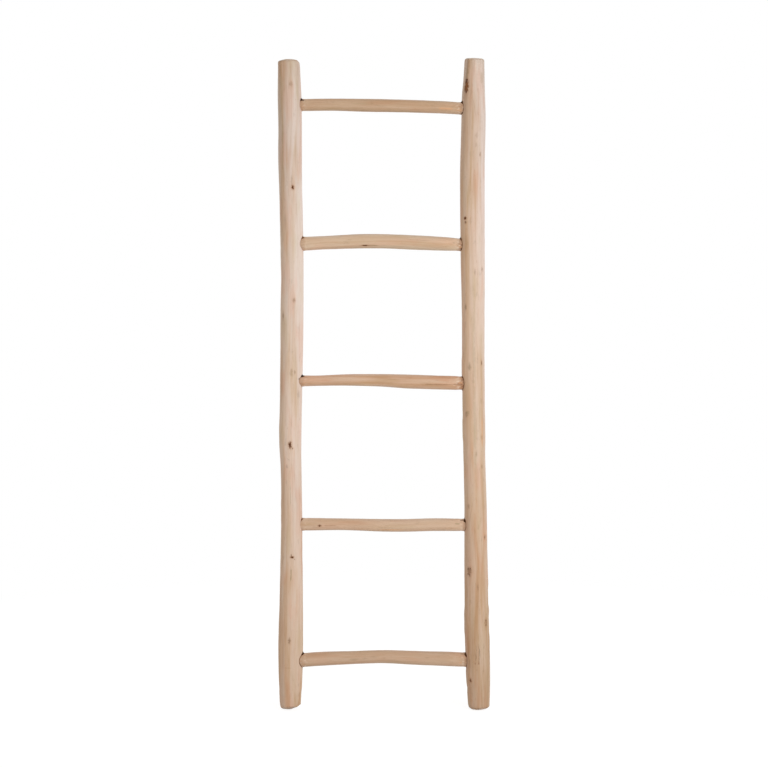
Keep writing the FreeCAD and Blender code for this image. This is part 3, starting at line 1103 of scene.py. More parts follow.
def closed_rows(rows):
    """A solid through loops of points, each joined to the next, with a face over the first and the last."""
    bm = bmesh.new()
    loops = [[bm.verts.new(point) for point in row] for row in rows]
    steps = len(loops[0])
    for lower, upper in zip(loops, loops[1:]):
        for step in range(steps):
            following = (step + 1) % steps
            bm.faces.new((lower[step], lower[following], upper[following], upper[step]))
    bm.faces.new(loops[0])
    bm.faces.new(loops[-1])
    bmesh.ops.recalc_face_normals(bm, faces=bm.faces)
    return bm


def mortise_cutter(rail_name, rung_name, seed):
    """A hand-bored hole: nearly round, and a little wavy."""
    centre = MORTISES[rail_name, rung_name]
    inward = INWARD[rail_name]
    reach = abs(MOUTHS[rail_name, rung_name] - centre.x) + CUTTER_OVERRUN * MM
    rows = []
    for row in range(MORTISE_RINGS + 1):
        x = centre.x + inward * reach * row / MORTISE_RINGS
        ring = []
        for angle in turns(MORTISE_ANGLES):
            wobble = math.sin(3 * angle + seed) * 0.5 + math.sin(7 * angle + 2.3 * seed + row * 0.35) * 0.5
            r = mortise_radius(rail_name, rung_name, angle) + BORE_WOBBLE * MM * (0.5 + 0.5 * wobble)
            ring.append((x, centre.y + r * math.cos(angle), centre.z + r * math.sin(angle)))
        rows.append(ring)
    return closed_rows(rows)


def crack_cutter(branch, middle, turn, length, width, depth):
    """A drying crack: a thin wedge that wanders a little and closes at both ends."""
    along, angle = spot(branch, middle, turn)
    steps = max(8, round(length / CRACK_STEP))
    rows = []
    for step in range(steps + 1):
        t = step / steps
        place = along + (t - 0.5) * length * MM
        opening = math.sin(math.pi * t) ** 0.6 if 0 < t < 1 else 0.0
        opening = max(opening * (0.8 + 0.2 * math.sin(13 * t + turn)), CRACK_END_SHARE)
        wander = 0.0006 * math.sin(9 * t + middle) + 0.0004 * math.sin(23 * t)
        centre_angle = angle + wander / CRACK_RADIUS
        half = width * MM * opening / 2
        top_left = branch.point(place, centre_angle - half / CRACK_RADIUS, CRACK_LIFT * MM)
        top_right = branch.point(place, centre_angle + half / CRACK_RADIUS, CRACK_LIFT * MM)
        bottom = branch.point(place, centre_angle, -depth * MM * opening - CRACK_FLOOR * MM)
        rows.append((top_left, top_right, bottom))
    return closed_rows(rows)


def nail_hole_cutter(nail_name):
    """The recess that a nail's head sits in, a little wider than the head."""
    low, high = (Vector(corner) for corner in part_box(nail_name))
    centre = (low + high) / 2
    radius = (high.x - low.x) / 2 + NAIL_RECESS_PLAY * MM
    circle = [(radius * math.cos(angle), radius * math.sin(angle)) for angle in turns(NAIL_RECESS_ANGLES)]
    depths = (high.y - NAIL_RECESS_DEPTH * MM, high.y + NAIL_RECESS_OVERRUN * MM)
    return closed_rows([[(centre.x + across, y, centre.z + up) for across, up in circle] for y in depths])
def joined(name, cutters):
    """Several cutters as one object."""
    whole = bmesh.new()
    for bm in cutters:
        mesh = bpy.data.meshes.new("cutter")
        bm.to_mesh(mesh)
        whole.from_mesh(mesh)
        bpy.data.meshes.remove(mesh)
        bm.free()
    mesh = bpy.data.meshes.new(name)
    whole.to_mesh(mesh)
    whole.free()
    return add_piece(name, mesh)


def cut(piece, cutters, material):
    """Takes the cutters out of a piece. The new faces get their own material."""
    if not cutters:
        return
    tool = joined(piece.name + "_cutter", cutters)
    tool.data.materials.append(material)
    modifier = piece.modifiers.new("cut", "BOOLEAN")
    modifier.operation = "DIFFERENCE"
    modifier.solver = "EXACT"
    modifier.material_mode = "TRANSFER"
    modifier.object = tool
    settle(piece)
    bpy.data.objects.remove(tool)


# ---------------------------------------------------------------- glue in the joints, darkened as painted shade of their gaps

GLUE_ANGLES = 96
BEAD_HALF_WIDTH = 0.36  # radians
LOW_BEAD_TURN = 4.1
LOW_BEAD_HALF_WIDTH = 0.3
# the line round the mortise is painted shade of the gap, darkest at the front
LINE_MIDDLE = math.pi + 0.25  # where the line round the mortise is darkest: at the front
LINE_HALF_WIDTH = 0.6
GLUE_DEPTH = 5.0  # mm into the mortise
GLUE_RECESS = 0.4  # mm below the rail's surface, where no bead stands out
SMEARED = 0.5  # a line darker than this is also smeared over the mouth's edge
SMEAR = 0.8  # mm onto the rail
SMEAR_STAND = 0.15  # mm above its surface
GLUE_SHARP_ANGLE = 70  # degrees


def rail_face(rail, y, z):
    """Where a rail's inner side is, across the ladder, at a given depth and height."""
    centres, radii = rail.outline([z])
    centre, inward = centres[0], INWARD[rail.name]
    radius = radii[0].mean()
    for _ in range(4):
        lean = math.asin(max(-0.999, min(0.999, (y - centre[1]) / radius)))
        angle = lean if inward > 0 else math.pi - lean
        radius = np.interp(angle % (2 * math.pi), rail.angle, radii[0], period=2 * math.pi)
    return centre[0] + inward * (radius - SHRINKAGE["rail"] * MM) * math.cos(lean)


def hump(angle, middle, half_width):
    """1 in the middle, and falling away to both sides."""
    return math.exp(-((around_from(angle, middle) / half_width) ** 2))


def glue_and_shade_ring(rail, rung_name, seed):
    """Glue between a tenon and its mortise, standing out in a bead near the top. Its bead and the line round
    the mouth are darkened as painted shade of the gap round the tenon.
    """
    size, bead_turn, bead_shade, line_shade, low_size, _ = GLUE_AND_GAP_SHADE[rail.name, rung_name]
    centre = MORTISES[rail.name, rung_name]
    share = TENON_DEPTHS[rail.name, rung_name]
    rung = RUNG_BRANCHES[rung_name]
    inward = INWARD[rail.name]
    mouth = MOUTHS[rail.name, rung_name]
    (rung_y, rung_z), radii = (rows[0] for rows in rung.outline([mouth]))
    points, darkness = [], []
    for turn in turns(GLUE_ANGLES):
        bead = hump(turn, math.radians(90 + bead_turn), BEAD_HALF_WIDTH)
        low = hump(turn, LOW_BEAD_TURN, LOW_BEAD_HALF_WIDTH)
        lump = 1 + 0.18 * math.sin(5 * turn + seed) + 0.12 * math.sin(11 * turn + 2 * seed)
        stand = (size * bead + low_size * low) * lump
        smear = SMEAR * lump if line_shade > SMEARED else 0.0
        spread = max(0.4 * stand, smear) * MM
        surface = np.interp(turn, rung.angle, radii, period=2 * math.pi) - SHRINKAGE["rung"] / 2 * MM
        surface = flattened(turn, surface, share)
        tenon = surface - 0.6 * MM
        wall = mortise_radius(rail.name, rung_name, turn) + BORE_WOBBLE * MM + 0.2 * MM
        recess = GLUE_RECESS * (0.7 + 0.5 * math.sin(3 * turn + seed) ** 2) * (1 - min(1.0, bead + low))
        if smear:
            recess = -SMEAR_STAND
        cos, sin = math.cos(turn), math.sin(turn)
        inner = (rung_y + tenon * cos, rung_z + tenon * sin)
        film = (surface + 0.12 * stand * MM, surface + 0.34 * stand * MM)
        low_film, high_film = ((rung_y + reach * cos, rung_z + reach * sin) for reach in film)
        outer = (centre.y + wall * cos, centre.z + wall * sin)
        skirt = (centre.y + (wall + spread) * cos, centre.z + (wall + spread) * sin)
        profile = [
            (inner, outer, -GLUE_DEPTH),
            (inner, outer, 1.35 * stand - recess),
            (low_film, outer, 1.25 * stand - recess),
            (high_film, outer, 0.8 * stand - recess),
            (outer, outer, 0.45 * stand - recess),
            (skirt, skirt, 0.1 * stand - recess),
            (skirt, skirt, -0.9 - recess),
            (outer, outer, -GLUE_DEPTH),
        ]
        for (y, z), (face_y, face_z), height in profile:
            points.append((rail_face(rail, face_y, face_z) + inward * height * MM, y, z))
        # how dark the glue is: painted shade of the gap, darkest in the bead over the tenon and at the front
        facing_front = hump(turn, LINE_MIDDLE, LINE_HALF_WIDTH)
        patchy = (0.35 + 0.65 * facing_front) * (0.85 + 0.15 * math.sin(7 * turn + 3 * seed))
        dark = max(line_shade * patchy, bead_shade * min(1, 1.6 * bead), 0.8 * low_size * low)
        darkness += [min(1.0, dark)] * len(profile)
    loop = len(profile)
    faces = []
    for step in range(GLUE_ANGLES):
        low, high = step * loop, (step + 1) % GLUE_ANGLES * loop
        for side in range(loop):
            after = (side + 1) % loop
            faces.append((low + side, low + after, high + after, high + side))
    return points, faces, darkness


def make_glue_and_gap_shade():
    """The glue of all ten joints as one piece, darkened where it paints the shade of their gaps."""
    points, faces, darkness = [], [], []
    for seed, (rail_name, rung_name) in enumerate(sorted(GLUE_AND_GAP_SHADE)):
        ring_points, ring_faces, ring_dark = glue_and_shade_ring(RAIL_BRANCHES[rail_name], rung_name, seed * 1.7)
        faces += [tuple(index + len(points) for index in face) for face in ring_faces]
        points += ring_points
        darkness += ring_dark
    mesh = bpy.data.meshes.new("joint_glue")
    mesh.from_pydata(points, [], faces)
    make_outward(mesh)
    made = mesh.attributes.new("glue_dark", "FLOAT", "POINT")
    made.data.foreach_set("value", darkness)
    mesh.materials.append(dried_glue())
    piece = add_piece("joint_glue", mesh)
    round_off(piece, GLUE_SHARP_ANGLE)
    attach(piece, "root")


# ---------------------------------------------------------------- finishes


class Finish(Nodes):
    """A procedural material, built a node at a time."""

    def __init__(self, name):
        self.material = bpy.data.materials.new(name)
        self.material.use_nodes = True
        super().__init__(self.material.node_tree)
        self.shader = self.tree.nodes["Principled BSDF"]
    def attribute(self, name, output="Fac"):
        return self.node("ShaderNodeAttribute", attribute_name=name).outputs[output]

    def stretched(self, vector, across, along, shift=(0, 0, 0)):
        """Coordinates in which one unit is that many metres across and along the grain."""
        scale = (1 / across, 1 / across, 1 / along)
        return self.node(
            "ShaderNodeMapping", {"Vector": vector, "Scale": scale, "Location": shift}
        ).outputs[0]

    def scaled(self, vector, factor):
        made = self.node("ShaderNodeVectorMath", {0: vector}, operation="SCALE")
        made.inputs["Scale"].default_value = factor
        return made.outputs[0]

    def noise(self, vector, detail=3.0, roughness=0.5, distortion=0.0, scale=1.0):
        return self.node(
            "ShaderNodeTexNoise",
            {
                "Vector": vector,
                "Scale": scale,
                "Detail": detail,
                "Roughness": roughness,
                "Distortion": distortion,
            },
        ).outputs[0]

    def between(self, value, low, high, start=0.0, end=1.0):
        """Maps a range to another, smoothly, and holds it at its ends."""
        return self.node(
            "ShaderNodeMapRange",
            {"Value": value, "From Min": low, "From Max": high, "To Min": start, "To Max": end},
            interpolation_type="SMOOTHSTEP",
        ).outputs[0]

    def ramp(self, factor, stops):
        made = self.node("ShaderNodeValToRGB", {"Fac": factor})
        elements = made.color_ramp.elements
        elements[0].position, elements[0].color = stops[0][0], stops[0][1]
        elements[1].position, elements[1].color = stops[-1][0], stops[-1][1]
        for position, color in stops[1:-1]:
            elements.new(position).color = color
        return made.outputs[0]

    def darker(self, colour, amount, tone):
        """Multiplies a colour by a tone, by an amount."""
        return self.mix(amount, colour, shade(tone), blend="MULTIPLY")

    def bump(self, height, distance, strength):
        links = {"Height": height, "Distance": distance, "Strength": strength}
        return self.node("ShaderNodeBump", links).outputs[0]


def shade(hex_code):
    """A colour as it is named on screen, turned into the linear value that the shader wants."""
    channels = [int(hex_code[i : i + 2], 16) / 255 for i in (0, 2, 4)]
    linear = [c / 12.92 if c <= 0.04045 else ((c + 0.055) / 1.055) ** 2.4 for c in channels]
    return (*linear, 1.0)


def add_knots(finish, colour, layer, grain, shift, tones):
    """One layer of knots: a broken heart, checks that run out from it, and a warm halo."""
    at = finish.node("ShaderNodeSeparateXYZ", {"Vector": finish.attribute(layer, "Vector")})
    u, v, dark = at.outputs["X"], at.outputs["Y"], at.outputs["Z"]
    plain = finish.node("ShaderNodeCombineXYZ", {"X": u, "Y": v})
    length = finish.node("ShaderNodeVectorMath", {0: plain.outputs[0]}, operation="LENGTH").outputs["Value"]
    facing = finish.node("ShaderNodeVectorMath", {0: plain.outputs[0]}, operation="NORMALIZE").outputs[0]
    rays = {0: facing, 1: finish.scaled(grain, 9.0)}
    rays = finish.node("ShaderNodeVectorMath", rays, operation="ADD").outputs[0]
    rays = finish.noise(rays, detail=1.0, roughness=0.5, scale=2.6)
    ragged = finish.noise(finish.stretched(grain, 0.0028, 0.0048, shift), detail=4.0, roughness=0.65)
    uneven = finish.math("MULTIPLY", finish.math("SUBTRACT", ragged, 0.5), 0.9)
    distance = finish.math("ADD", length, uneven)
    star = finish.math("MULTIPLY", distance, finish.between(rays, 0.3, 0.62, 1.55, 0.72))
    halo = finish.math("MULTIPLY", finish.between(distance, 2.2, 0.7), dark)
    heart = finish.math("MULTIPLY", finish.between(star, 1.15, 0.6), dark)
    core = finish.math("MULTIPLY", finish.between(star, 0.78, 0.36), finish.between(dark, 0.35, 0.85))
    if layer == "open_knot":
        # the ring of bark is thick above and below the heart, where the grain parts, and thin at its sides
        inner, outer = finish.between(distance, 0.40, 0.70), finish.between(distance, 1.12, 0.85)
        ring = finish.math("MULTIPLY", inner, outer)
        ends = finish.node("ShaderNodeSeparateXYZ", {"Vector": facing}).outputs["Y"]
        ends = finish.math("ABSOLUTE", ends)
        ring = finish.math("MULTIPLY", ring, finish.between(ends, 0.5, 0.95, 0.22, 1.0))
        ring = finish.math("MULTIPLY", ring, finish.between(rays, 0.34, 0.54, 0.3, 1.0))
        core = finish.math("MULTIPLY", ring, finish.between(dark, 0.2, 0.9))
    colour = finish.mix(finish.math("MULTIPLY", halo, 0.32), colour, shade(tones["halo"]))
    hearts = finish.mix(finish.between(dark, 0.3, 0.8), shade(tones["faint_heart"]), shade(tones["heart"]))
    colour = finish.mix(heart, colour, hearts)
    colour = finish.mix(core, colour, shade(tones["core"]))
    return colour, heart


def add_marks(finish, colour, kind, grain, shift, tones):
    """One kind of mark, broken here and there along its length."""
    at = finish.node("ShaderNodeSeparateXYZ", {"Vector": finish.attribute(kind, "Vector")})
    across = finish.math("ABSOLUTE", at.outputs["X"])
    wander = finish.noise(finish.stretched(grain, 0.004, 0.012, shift), detail=3.0)
    across = finish.math("ADD", across, finish.math("MULTIPLY", finish.math("SUBTRACT", wander, 0.5), 1.2))
    along = finish.math("ABSOLUTE", at.outputs["Y"])
    here = finish.math("MULTIPLY", finish.between(across, 1.0, 0.15), finish.between(along, 1.0, 0.5))
    here = finish.math("MULTIPLY", here, finish.between(wander, 0.34, 0.5, 0.35, 1.0))
    here = finish.math("MULTIPLY", here, at.outputs["Z"], clamp=True)
    return finish.mix(here, colour, shade(tones[kind]))


def round_branch(finish, grain, directions, wander):
    """How far round a branch a point is: 0.5 at the front, 0 and 1 at the back, a little uneven."""
    at = finish.node("ShaderNodeSeparateXYZ", {"Vector": grain})
    (side, side_sign), (front, front_sign) = directions
    side = finish.math("MULTIPLY", at.outputs[side], side_sign)
    front = finish.math("MULTIPLY", at.outputs[front], front_sign)
    turn = finish.math("ARCTAN2", side, front)
    share = finish.math("ADD", finish.math("DIVIDE", turn, 2 * math.pi), 0.5)
    return finish.math("ADD", share, finish.math("MULTIPLY", finish.math("SUBTRACT", wander, 0.5), 0.22))


def peeled_wood(name, tones, seed, length, directions, patchy=1.0):
    """Bare branch wood. One side of it is tan and the other pale and rosy, and both tones drift from one end
    to the other.
    The two sides are partly the wood's own tone and partly painted shade and painted light: on a rail the
    tan falls on the left front, away from the lamp, and the rosy on the lit right side. Soft streaks,
    blushes of pink and grey, fine fibres, knots and marks lie over it."""
    finish = Finish(name)
    grain = finish.attribute("grain", "Vector")
    shift = (seed * 3.1, seed * 1.7, seed * 0.9)
    low, high = length
    along = finish.node("ShaderNodeSeparateXYZ", {"Vector": grain}).outputs["Z"]
    drift = finish.node("ShaderNodeMapRange", {"Value": along, "From Min": low, "From Max": high}).outputs[0]

    broad = finish.noise(finish.stretched(grain, 0.016, 0.22, shift), detail=2.0, distortion=0.4)
    blush = finish.noise(finish.stretched(grain, 0.024, 0.12, shift[::-1]), detail=3.0, roughness=0.55)
    bands = finish.stretched(grain, 0.0065, 0.20, shift)
    bands = finish.noise(bands, detail=2.0, roughness=0.55, distortion=0.3)
    streaks = finish.noise(finish.stretched(grain, 0.0026, 0.10, shift), detail=4.0, roughness=0.6)
    fibres = finish.noise(finish.stretched(grain, 0.0008, 0.030, shift), detail=3.0, roughness=0.6)
    flecks = finish.noise(finish.stretched(grain, 0.0015, 0.010, shift), detail=2.0)
    mould = finish.noise(finish.stretched(grain, 0.012, 0.03, shift), detail=5.0, roughness=0.65)

    turn = round_branch(finish, grain, directions, broad)
    tan = finish.ramp(drift, [(place, shade(tone)) for place, tone in tones["tan"]])
    rosy = finish.ramp(drift, [(place, shade(tone)) for place, tone in tones["rosy"]])
    # tan mixed into rosy by which way the wood faces: partly its own tone, and partly painted shade on the
    # side away from the lamp and painted light on the lit side
    side_tone_and_light = finish.ramp(turn, [(place, (share, share, share, 1)) for place, share in tones["side_tone_and_light"]])
    colour = finish.mix(side_tone_and_light, tan, rosy)
    # each layer: its noise, where it sets in and where it is full, how strong it gets, its tone and blend
    layers = (
        (broad, 0.40, 0.66, 0.28 * patchy, "pale", "MIX"),
        (broad, 0.50, 0.30, 0.58 * patchy, "tan_cast", "MULTIPLY"),
        (blush, 0.48, 0.66, 0.76 * patchy, "pink_cast", "MULTIPLY"),
        (blush, 0.46, 0.30, 0.55 * patchy, "green_cast", "MULTIPLY"),
        (bands, 0.50, 0.68, 0.38 * patchy, "streak_cast", "MULTIPLY"),
        (bands, 0.46, 0.32, 0.08, "light", "MIX"),
        (streaks, 0.50, 0.74, 0.47, "streak_cast", "MULTIPLY"),
        (streaks, 0.44, 0.28, 0.11, "light", "MIX"),
        (fibres, 0.50, 0.78, 0.51, "streak_cast", "MULTIPLY"),
        (flecks, 0.64, 0.78, 0.5, "fleck_cast", "MULTIPLY"),
        (mould, 0.58, 0.74, 0.7, "grey_cast", "MULTIPLY"),
    )
    for noise, low_end, high_end, strength, tone, blend in layers:
        amount = finish.between(noise, low_end, high_end, 0.0, strength)
        colour = finish.mix(amount, colour, shade(tones[tone]), blend)

    fresh = finish.attribute("fresh_cut")
    torn = finish.noise(finish.stretched(grain, 0.004, 0.008, shift), detail=4.0, roughness=0.6)
    pale_cut = finish.math("MULTIPLY", fresh, finish.between(torn, 0.50, 0.62, 0.0, 0.7))
    red_cut = finish.math("MULTIPLY", fresh, finish.between(torn, 0.47, 0.36, 0.0, 0.55), clamp=True)
    colour = finish.mix(pale_cut, colour, shade(tones["light"]))
    colour = finish.mix(red_cut, colour, shade(tones["halo"]))
    rim = finish.attribute("rim")
    stained = finish.math("MULTIPLY", rim, finish.between(torn, 0.40, 0.58, 0.25, 0.95))
    colour = finish.mix(stained, colour, shade(tones["rim"]))
    # painted shade along the edges of the bevels at a rail's two ends, broken up by the bands
    worn = finish.between(bands, 0.38, 0.62, 0.45, 0.85)
    edge = finish.math("MULTIPLY", finish.attribute("end_edge"), worn)
    colour = finish.mix(edge, colour, shade(tones["edge"]))

    for kind in MARKS:
        colour = add_marks(finish, colour, kind, grain, shift, tones)
    hearts = 0.0
    for layer in ("open_knot", "tight_knot", "next_knot"):
        colour, heart = add_knots(finish, colour, layer, grain, shift, tones)
        hearts = finish.math("MAXIMUM", hearts, heart)
    finish.feed(finish.shader.inputs["Base Color"], colour)

    rough = finish.between(streaks, 0.3, 0.7, 0.62, 0.80)
    finish.feed(finish.shader.inputs["Roughness"], rough)
    finish.shader.inputs["Specular IOR Level"].default_value = 0.26
    finish.shader.inputs["Sheen Weight"].default_value = 0.13
    finish.shader.inputs["Sheen Roughness"].default_value = 0.4
    height = finish.math("ADD", finish.math("MULTIPLY", fibres, 0.5), finish.math("MULTIPLY", streaks, 0.8))
    height = finish.math("SUBTRACT", height, finish.math("MULTIPLY", hearts, 0.8))
    finish.feed(finish.shader.inputs["Normal"], finish.bump(height, 0.0005, 0.5))
    return finish.material


def end_grain(name, tones):
    """A sawn end: growth rings round a dark heart, pores, patches of tone, and a darker rim."""
    finish = Finish(name)
    grain = finish.attribute("grain", "Vector")
    heart = finish.attribute("from_heart")
    wander = finish.noise(finish.stretched(grain, 0.018, 0.018), detail=3.0)
    depth = finish.math("ADD", heart, finish.math("MULTIPLY", wander, 0.16))
    rings = finish.math("SINE", finish.math("MULTIPLY", depth, 92.0))
    pores = finish.noise(finish.stretched(grain, 0.0006, 0.0006), detail=2.0)
    patches = finish.noise(finish.stretched(grain, 0.009, 0.009), detail=3.0)
    colour = finish.mix(finish.between(patches, 0.35, 0.65), shade(tones["sawn"]), shade(tones["pale"]))
    colour = finish.darker(colour, finish.between(rings, -0.2, 1.0, 0.0, 0.8), tones["streak_cast"])
    colour = finish.darker(colour, finish.between(pores, 0.55, 0.75, 0.0, 0.8), tones["fleck_cast"])
    colour = finish.mix(finish.between(heart, 0.09, 0.03, 0.0, 0.9), colour, shade(tones["heart"]))
    colour = finish.darker(colour, finish.between(heart, 0.90, 1.0, 0.0, 1.0), tones["fleck_cast"])
    finish.feed(finish.shader.inputs["Base Color"], colour)
    finish.shader.inputs["Roughness"].default_value = 0.82
    finish.shader.inputs["Specular IOR Level"].default_value = 0.25
    height = finish.math("ADD", finish.math("MULTIPLY", rings, 0.3), pores)
    finish.feed(finish.shader.inputs["Normal"], finish.bump(height, 0.0005, 0.5))
    return finish.material


def bored_wood(name, tones):
    """The raw inside of a mortise or crack, darker and furrier than the outside."""
    finish = Finish(name)
    grain = finish.attribute("grain", "Vector")
    fur = finish.noise(finish.stretched(grain, 0.0015, 0.0015), detail=4.0, roughness=0.7)
    colour = finish.mix(finish.between(fur, 0.35, 0.7), shade(tones["core"]), shade(tones["bored"]))
    finish.feed(finish.shader.inputs["Base Color"], colour)
    finish.shader.inputs["Roughness"].default_value = 0.9
    finish.shader.inputs["Specular IOR Level"].default_value = 0.15
    finish.feed(finish.shader.inputs["Normal"], finish.bump(fur, 0.0008, 0.8))
    return finish.material


def dried_glue():
    """Glue and saw dust set hard, from the wood's tone through brown to nearly black where it paints the
    shade of the gap above a tenon.
    """
    finish = Finish("dried_glue")
    place = finish.node("ShaderNodeTexCoord").outputs["Object"]
    dust = finish.noise(finish.stretched(place, 0.0012, 0.0012), detail=4.0, roughness=0.65)
    dark = finish.attribute("glue_dark")
    uneven = finish.math("MULTIPLY", finish.math("SUBTRACT", dust, 0.5), 0.5)
    amount = finish.math("ADD", dark, uneven, clamp=True)
    colour = finish.ramp(amount, [(0.0, shade("B8967A")), (0.5, shade("70492C")), (1.0, shade("2A1506"))])
    finish.feed(finish.shader.inputs["Base Color"], colour)
    finish.feed(finish.shader.inputs["Roughness"], finish.between(dust, 0.35, 0.7, 0.75, 0.95))
    finish.shader.inputs["Specular IOR Level"].default_value = 0.03
    finish.feed(finish.shader.inputs["Normal"], finish.bump(dust, 0.0006, 0.7))
    return finish.material


def nail_steel():
    """Drawn wire steel, dulled, with a brown bloom here and there."""
    finish = Finish("nail_steel")
    place = finish.node("ShaderNodeTexCoord").outputs["Object"]
    bloom = finish.noise(finish.stretched(place, 0.0016, 0.0016), detail=4.0, roughness=0.65)
    scratch = finish.noise(finish.stretched(place, 0.0004, 0.0015), detail=3.0, roughness=0.6)
    colour = finish.mix(finish.between(bloom, 0.52, 0.75), shade("8F8B86"), shade("6B4A33"))
    colour = finish.mix(finish.between(scratch, 0.55, 0.8, 0.0, 0.4), colour, shade("B9B6B1"))
    finish.feed(finish.shader.inputs["Base Color"], colour)
    finish.feed(finish.shader.inputs["Metallic"], finish.between(bloom, 0.52, 0.75, 1.0, 0.3))
    finish.feed(finish.shader.inputs["Roughness"], finish.between(bloom, 0.4, 0.75, 0.36, 0.75))
    finish.feed(finish.shader.inputs["Normal"], finish.bump(scratch, 0.0001, 0.4))
    return finish.material


# Tones from the foot up, or from left to right, as shares of the length. The share that mixes tan into rosy
# goes round a branch from the back: on a rail past its left side, and on a rung past its underside. It is
# partly the wood's own tone and partly painted light: on a rail the left front is painted tan as shade and
# the right side pale and rosy as light; on a rung the front is tan and the top and underside paler.
CASTS = {
    "tan_cast": "F0E6D8",
    "pink_cast": "FFF1EC",
    "green_cast": "F2F2E2",
    "streak_cast": "EDE3DA",
    "fleck_cast": "DCC6B2",
    "grey_cast": "E4E2DE",
    "halo": "A87350",
    "heart": "845024",
    "faint_heart": "9C8268",
    "core": "4E280A",
    "line": "8F5C3C",
    "stain": "DCA77C",
    "smudge": "A08E6A",
    # pale scraped wood, and painted light on the right rail's foot
    "scraped": "EAD3BC",
    # dark spots at the joints: glue, darkened as painted shade of their gaps
    "glued": "3A200E",
    "rim": "9A6B4A",
    # the edge tone: painted shade along the edges of the end bevels
    "edge": "8C6C52",
    "bored": "7A583D",
    "sawn": "D9BFA3",
}
RAIL_CASTS = {
    **CASTS,
    "side_tone_and_light": [
        (0.0, 0.45), (0.23, 0.6), (0.30, 0.1), (0.37, 0.05), (0.5, 0.5), (0.62, 0.95), (0.75, 1.0),
        (1.0, 0.45),
    ],
}
LEFT_TONES = {
    **RAIL_CASTS,
    "tan": [
        (0.0, "D2B092"), (0.2, "D9B798"), (0.45, "E6C9B0"), (0.72, "E1C4A9"), (0.87, "D3B79F"),
        (1.0, "CDB192"),
    ],
    "rosy": [
        (0.0, "CBA988"), (0.2, "DAC0AB"), (0.45, "E1CDC0"), (0.72, "E2D3C8"), (0.87, "DDCEC6"),
        (1.0, "CDBBAC"),
    ],
    "pale": "EADBD0",
    "light": "F2E6DC",
}
RIGHT_TONES = {
    **RAIL_CASTS,
    "tan": [
        (0.0, "BE9B78"), (0.2, "CAA27E"), (0.4, "DDBB9B"), (0.6, "E3C1A2"), (0.8, "D3AF8A"),
        (1.0, "CCAD91"),
    ],
    "rosy": [
        (0.0, "BDA083"), (0.2, "CAAB8E"), (0.4, "D3B9A0"), (0.6, "DBC4B3"), (0.8, "DFCEC6"),
        (1.0, "CFC1B6"),
    ],
    "pale": "E6D2C3",
    "light": "EEDECF",
}
RUNG_CASTS = {
    **CASTS,
    "side_tone_and_light": [(0.0, 0.3), (0.25, 0.6), (0.4, 0.15), (0.6, 0.15), (0.75, 0.7), (1.0, 0.3)],
    "pale": "E2CBB4",
    "light": "EBD8C4",
}
RUNG_TONES = {
    "rung_1": {"tan": "C6A484", "rosy": "CAB198"},
    "rung_2": {"tan": "D9BC9F", "rosy": "DECCB8"},
    "rung_3": {"tan": "D4AC8D", "rosy": "D4B59B"},
    "rung_4": {"tan": "D6B598", "rosy": "D9C2AE"},
    "rung_5": {"tan": "CCAB8E", "rosy": "D0B8A2"},
}
# How strongly the tones wander along each rung.
RUNG_PATCHES = {"rung_1": 0.6, "rung_2": 1.0, "rung_3": 1.1, "rung_4": 0.7, "rung_5": 0.75}


# ---------------------------------------------------------------- pieces


END_FACING = 0.7  # how squarely a face looks along the branch to count as an end
SHARP_ANGLE = 38  # degrees


def paint_ends(piece, branch, material):
    """Gives the end faces their own material."""
    mesh = piece.data
    mesh.materials.append(material)
    slot = len(mesh.materials) - 1
    for face in mesh.polygons:
        place = face.center.dot(branch.along)
        from_end = min(place - branch.start, branch.end - place)
        if from_end < END_DEPTHS[-1] * MM and abs(face.normal.dot(branch.along)) > END_FACING:
            face.material_index = slot


def round_off(piece, angle=SHARP_ANGLE):
    """Shades a piece smoothly, but for its sharp edges."""
    piece.data.shade_smooth()
    piece.data.set_sharp_from_angle(angle=math.radians(angle))


def keep_on_floor(piece):
    """Nothing of a foot reaches below the floor."""
    for vertex in piece.data.vertices:
        vertex.co.z = max(vertex.co.z, 0.0)


def finish_branch(piece, branch, flutes, cutters):
    """Works a branch's surface, cuts it, gives it its finish and puts it in its node's place."""
    write_attributes(piece, branch)
    apply_tree(piece, WORKED_SURFACE, flutes)
    cut(piece, cutters, BORED)
    keep_on_floor(piece)
    write_attributes(piece, branch)
    paint_ends(piece, branch, END_GRAIN)
    round_off(piece)
    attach(piece, "root")
    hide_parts(branch.name)


def make_rails():
    for seed, rail in enumerate(RAIL_BRANCHES.values()):
        side = rail.name.split("_")[0]
        cutters = [mortise_cutter(rail.name, rung_name, k + 1.3) for k, rung_name in enumerate(RUNGS)]
        cutters += [crack_cutter(rail, *crack) for crack in CRACKS[rail.name]]
        cutters += [nail_hole_cutter(nail) for nail in NAILS if nail.endswith(side)]
        flutes = flute_values(RAIL_FLUTES, 3.0 + 8.0 * seed, WOODS[rail.name])
        finish_branch(make_rail(rail), rail, flutes, cutters)


def make_rungs():
    for seed, rung in enumerate(RUNG_BRANCHES.values()):
        cutters = [crack_cutter(rung, *crack) for crack in CRACKS[rung.name]]
        flutes = flute_values(RUNG_FLUTES, 20.0 + seed, WOODS[rung.name])
        finish_branch(make_rung(rung), rung, flutes, cutters)


def flute_values(flutes, seed, material):
    return {
        "Flute Depth": flutes["depth"] * MM,
        "Flute Width": flutes["width"] * MM,
        "Flute Length": flutes["length"] * MM,
        "Ripple Height": flutes["ripple"] * MM,
        "Ripple Length": flutes["ripple_length"] * MM,
        "Seed": seed,
        "Material": material,
    }


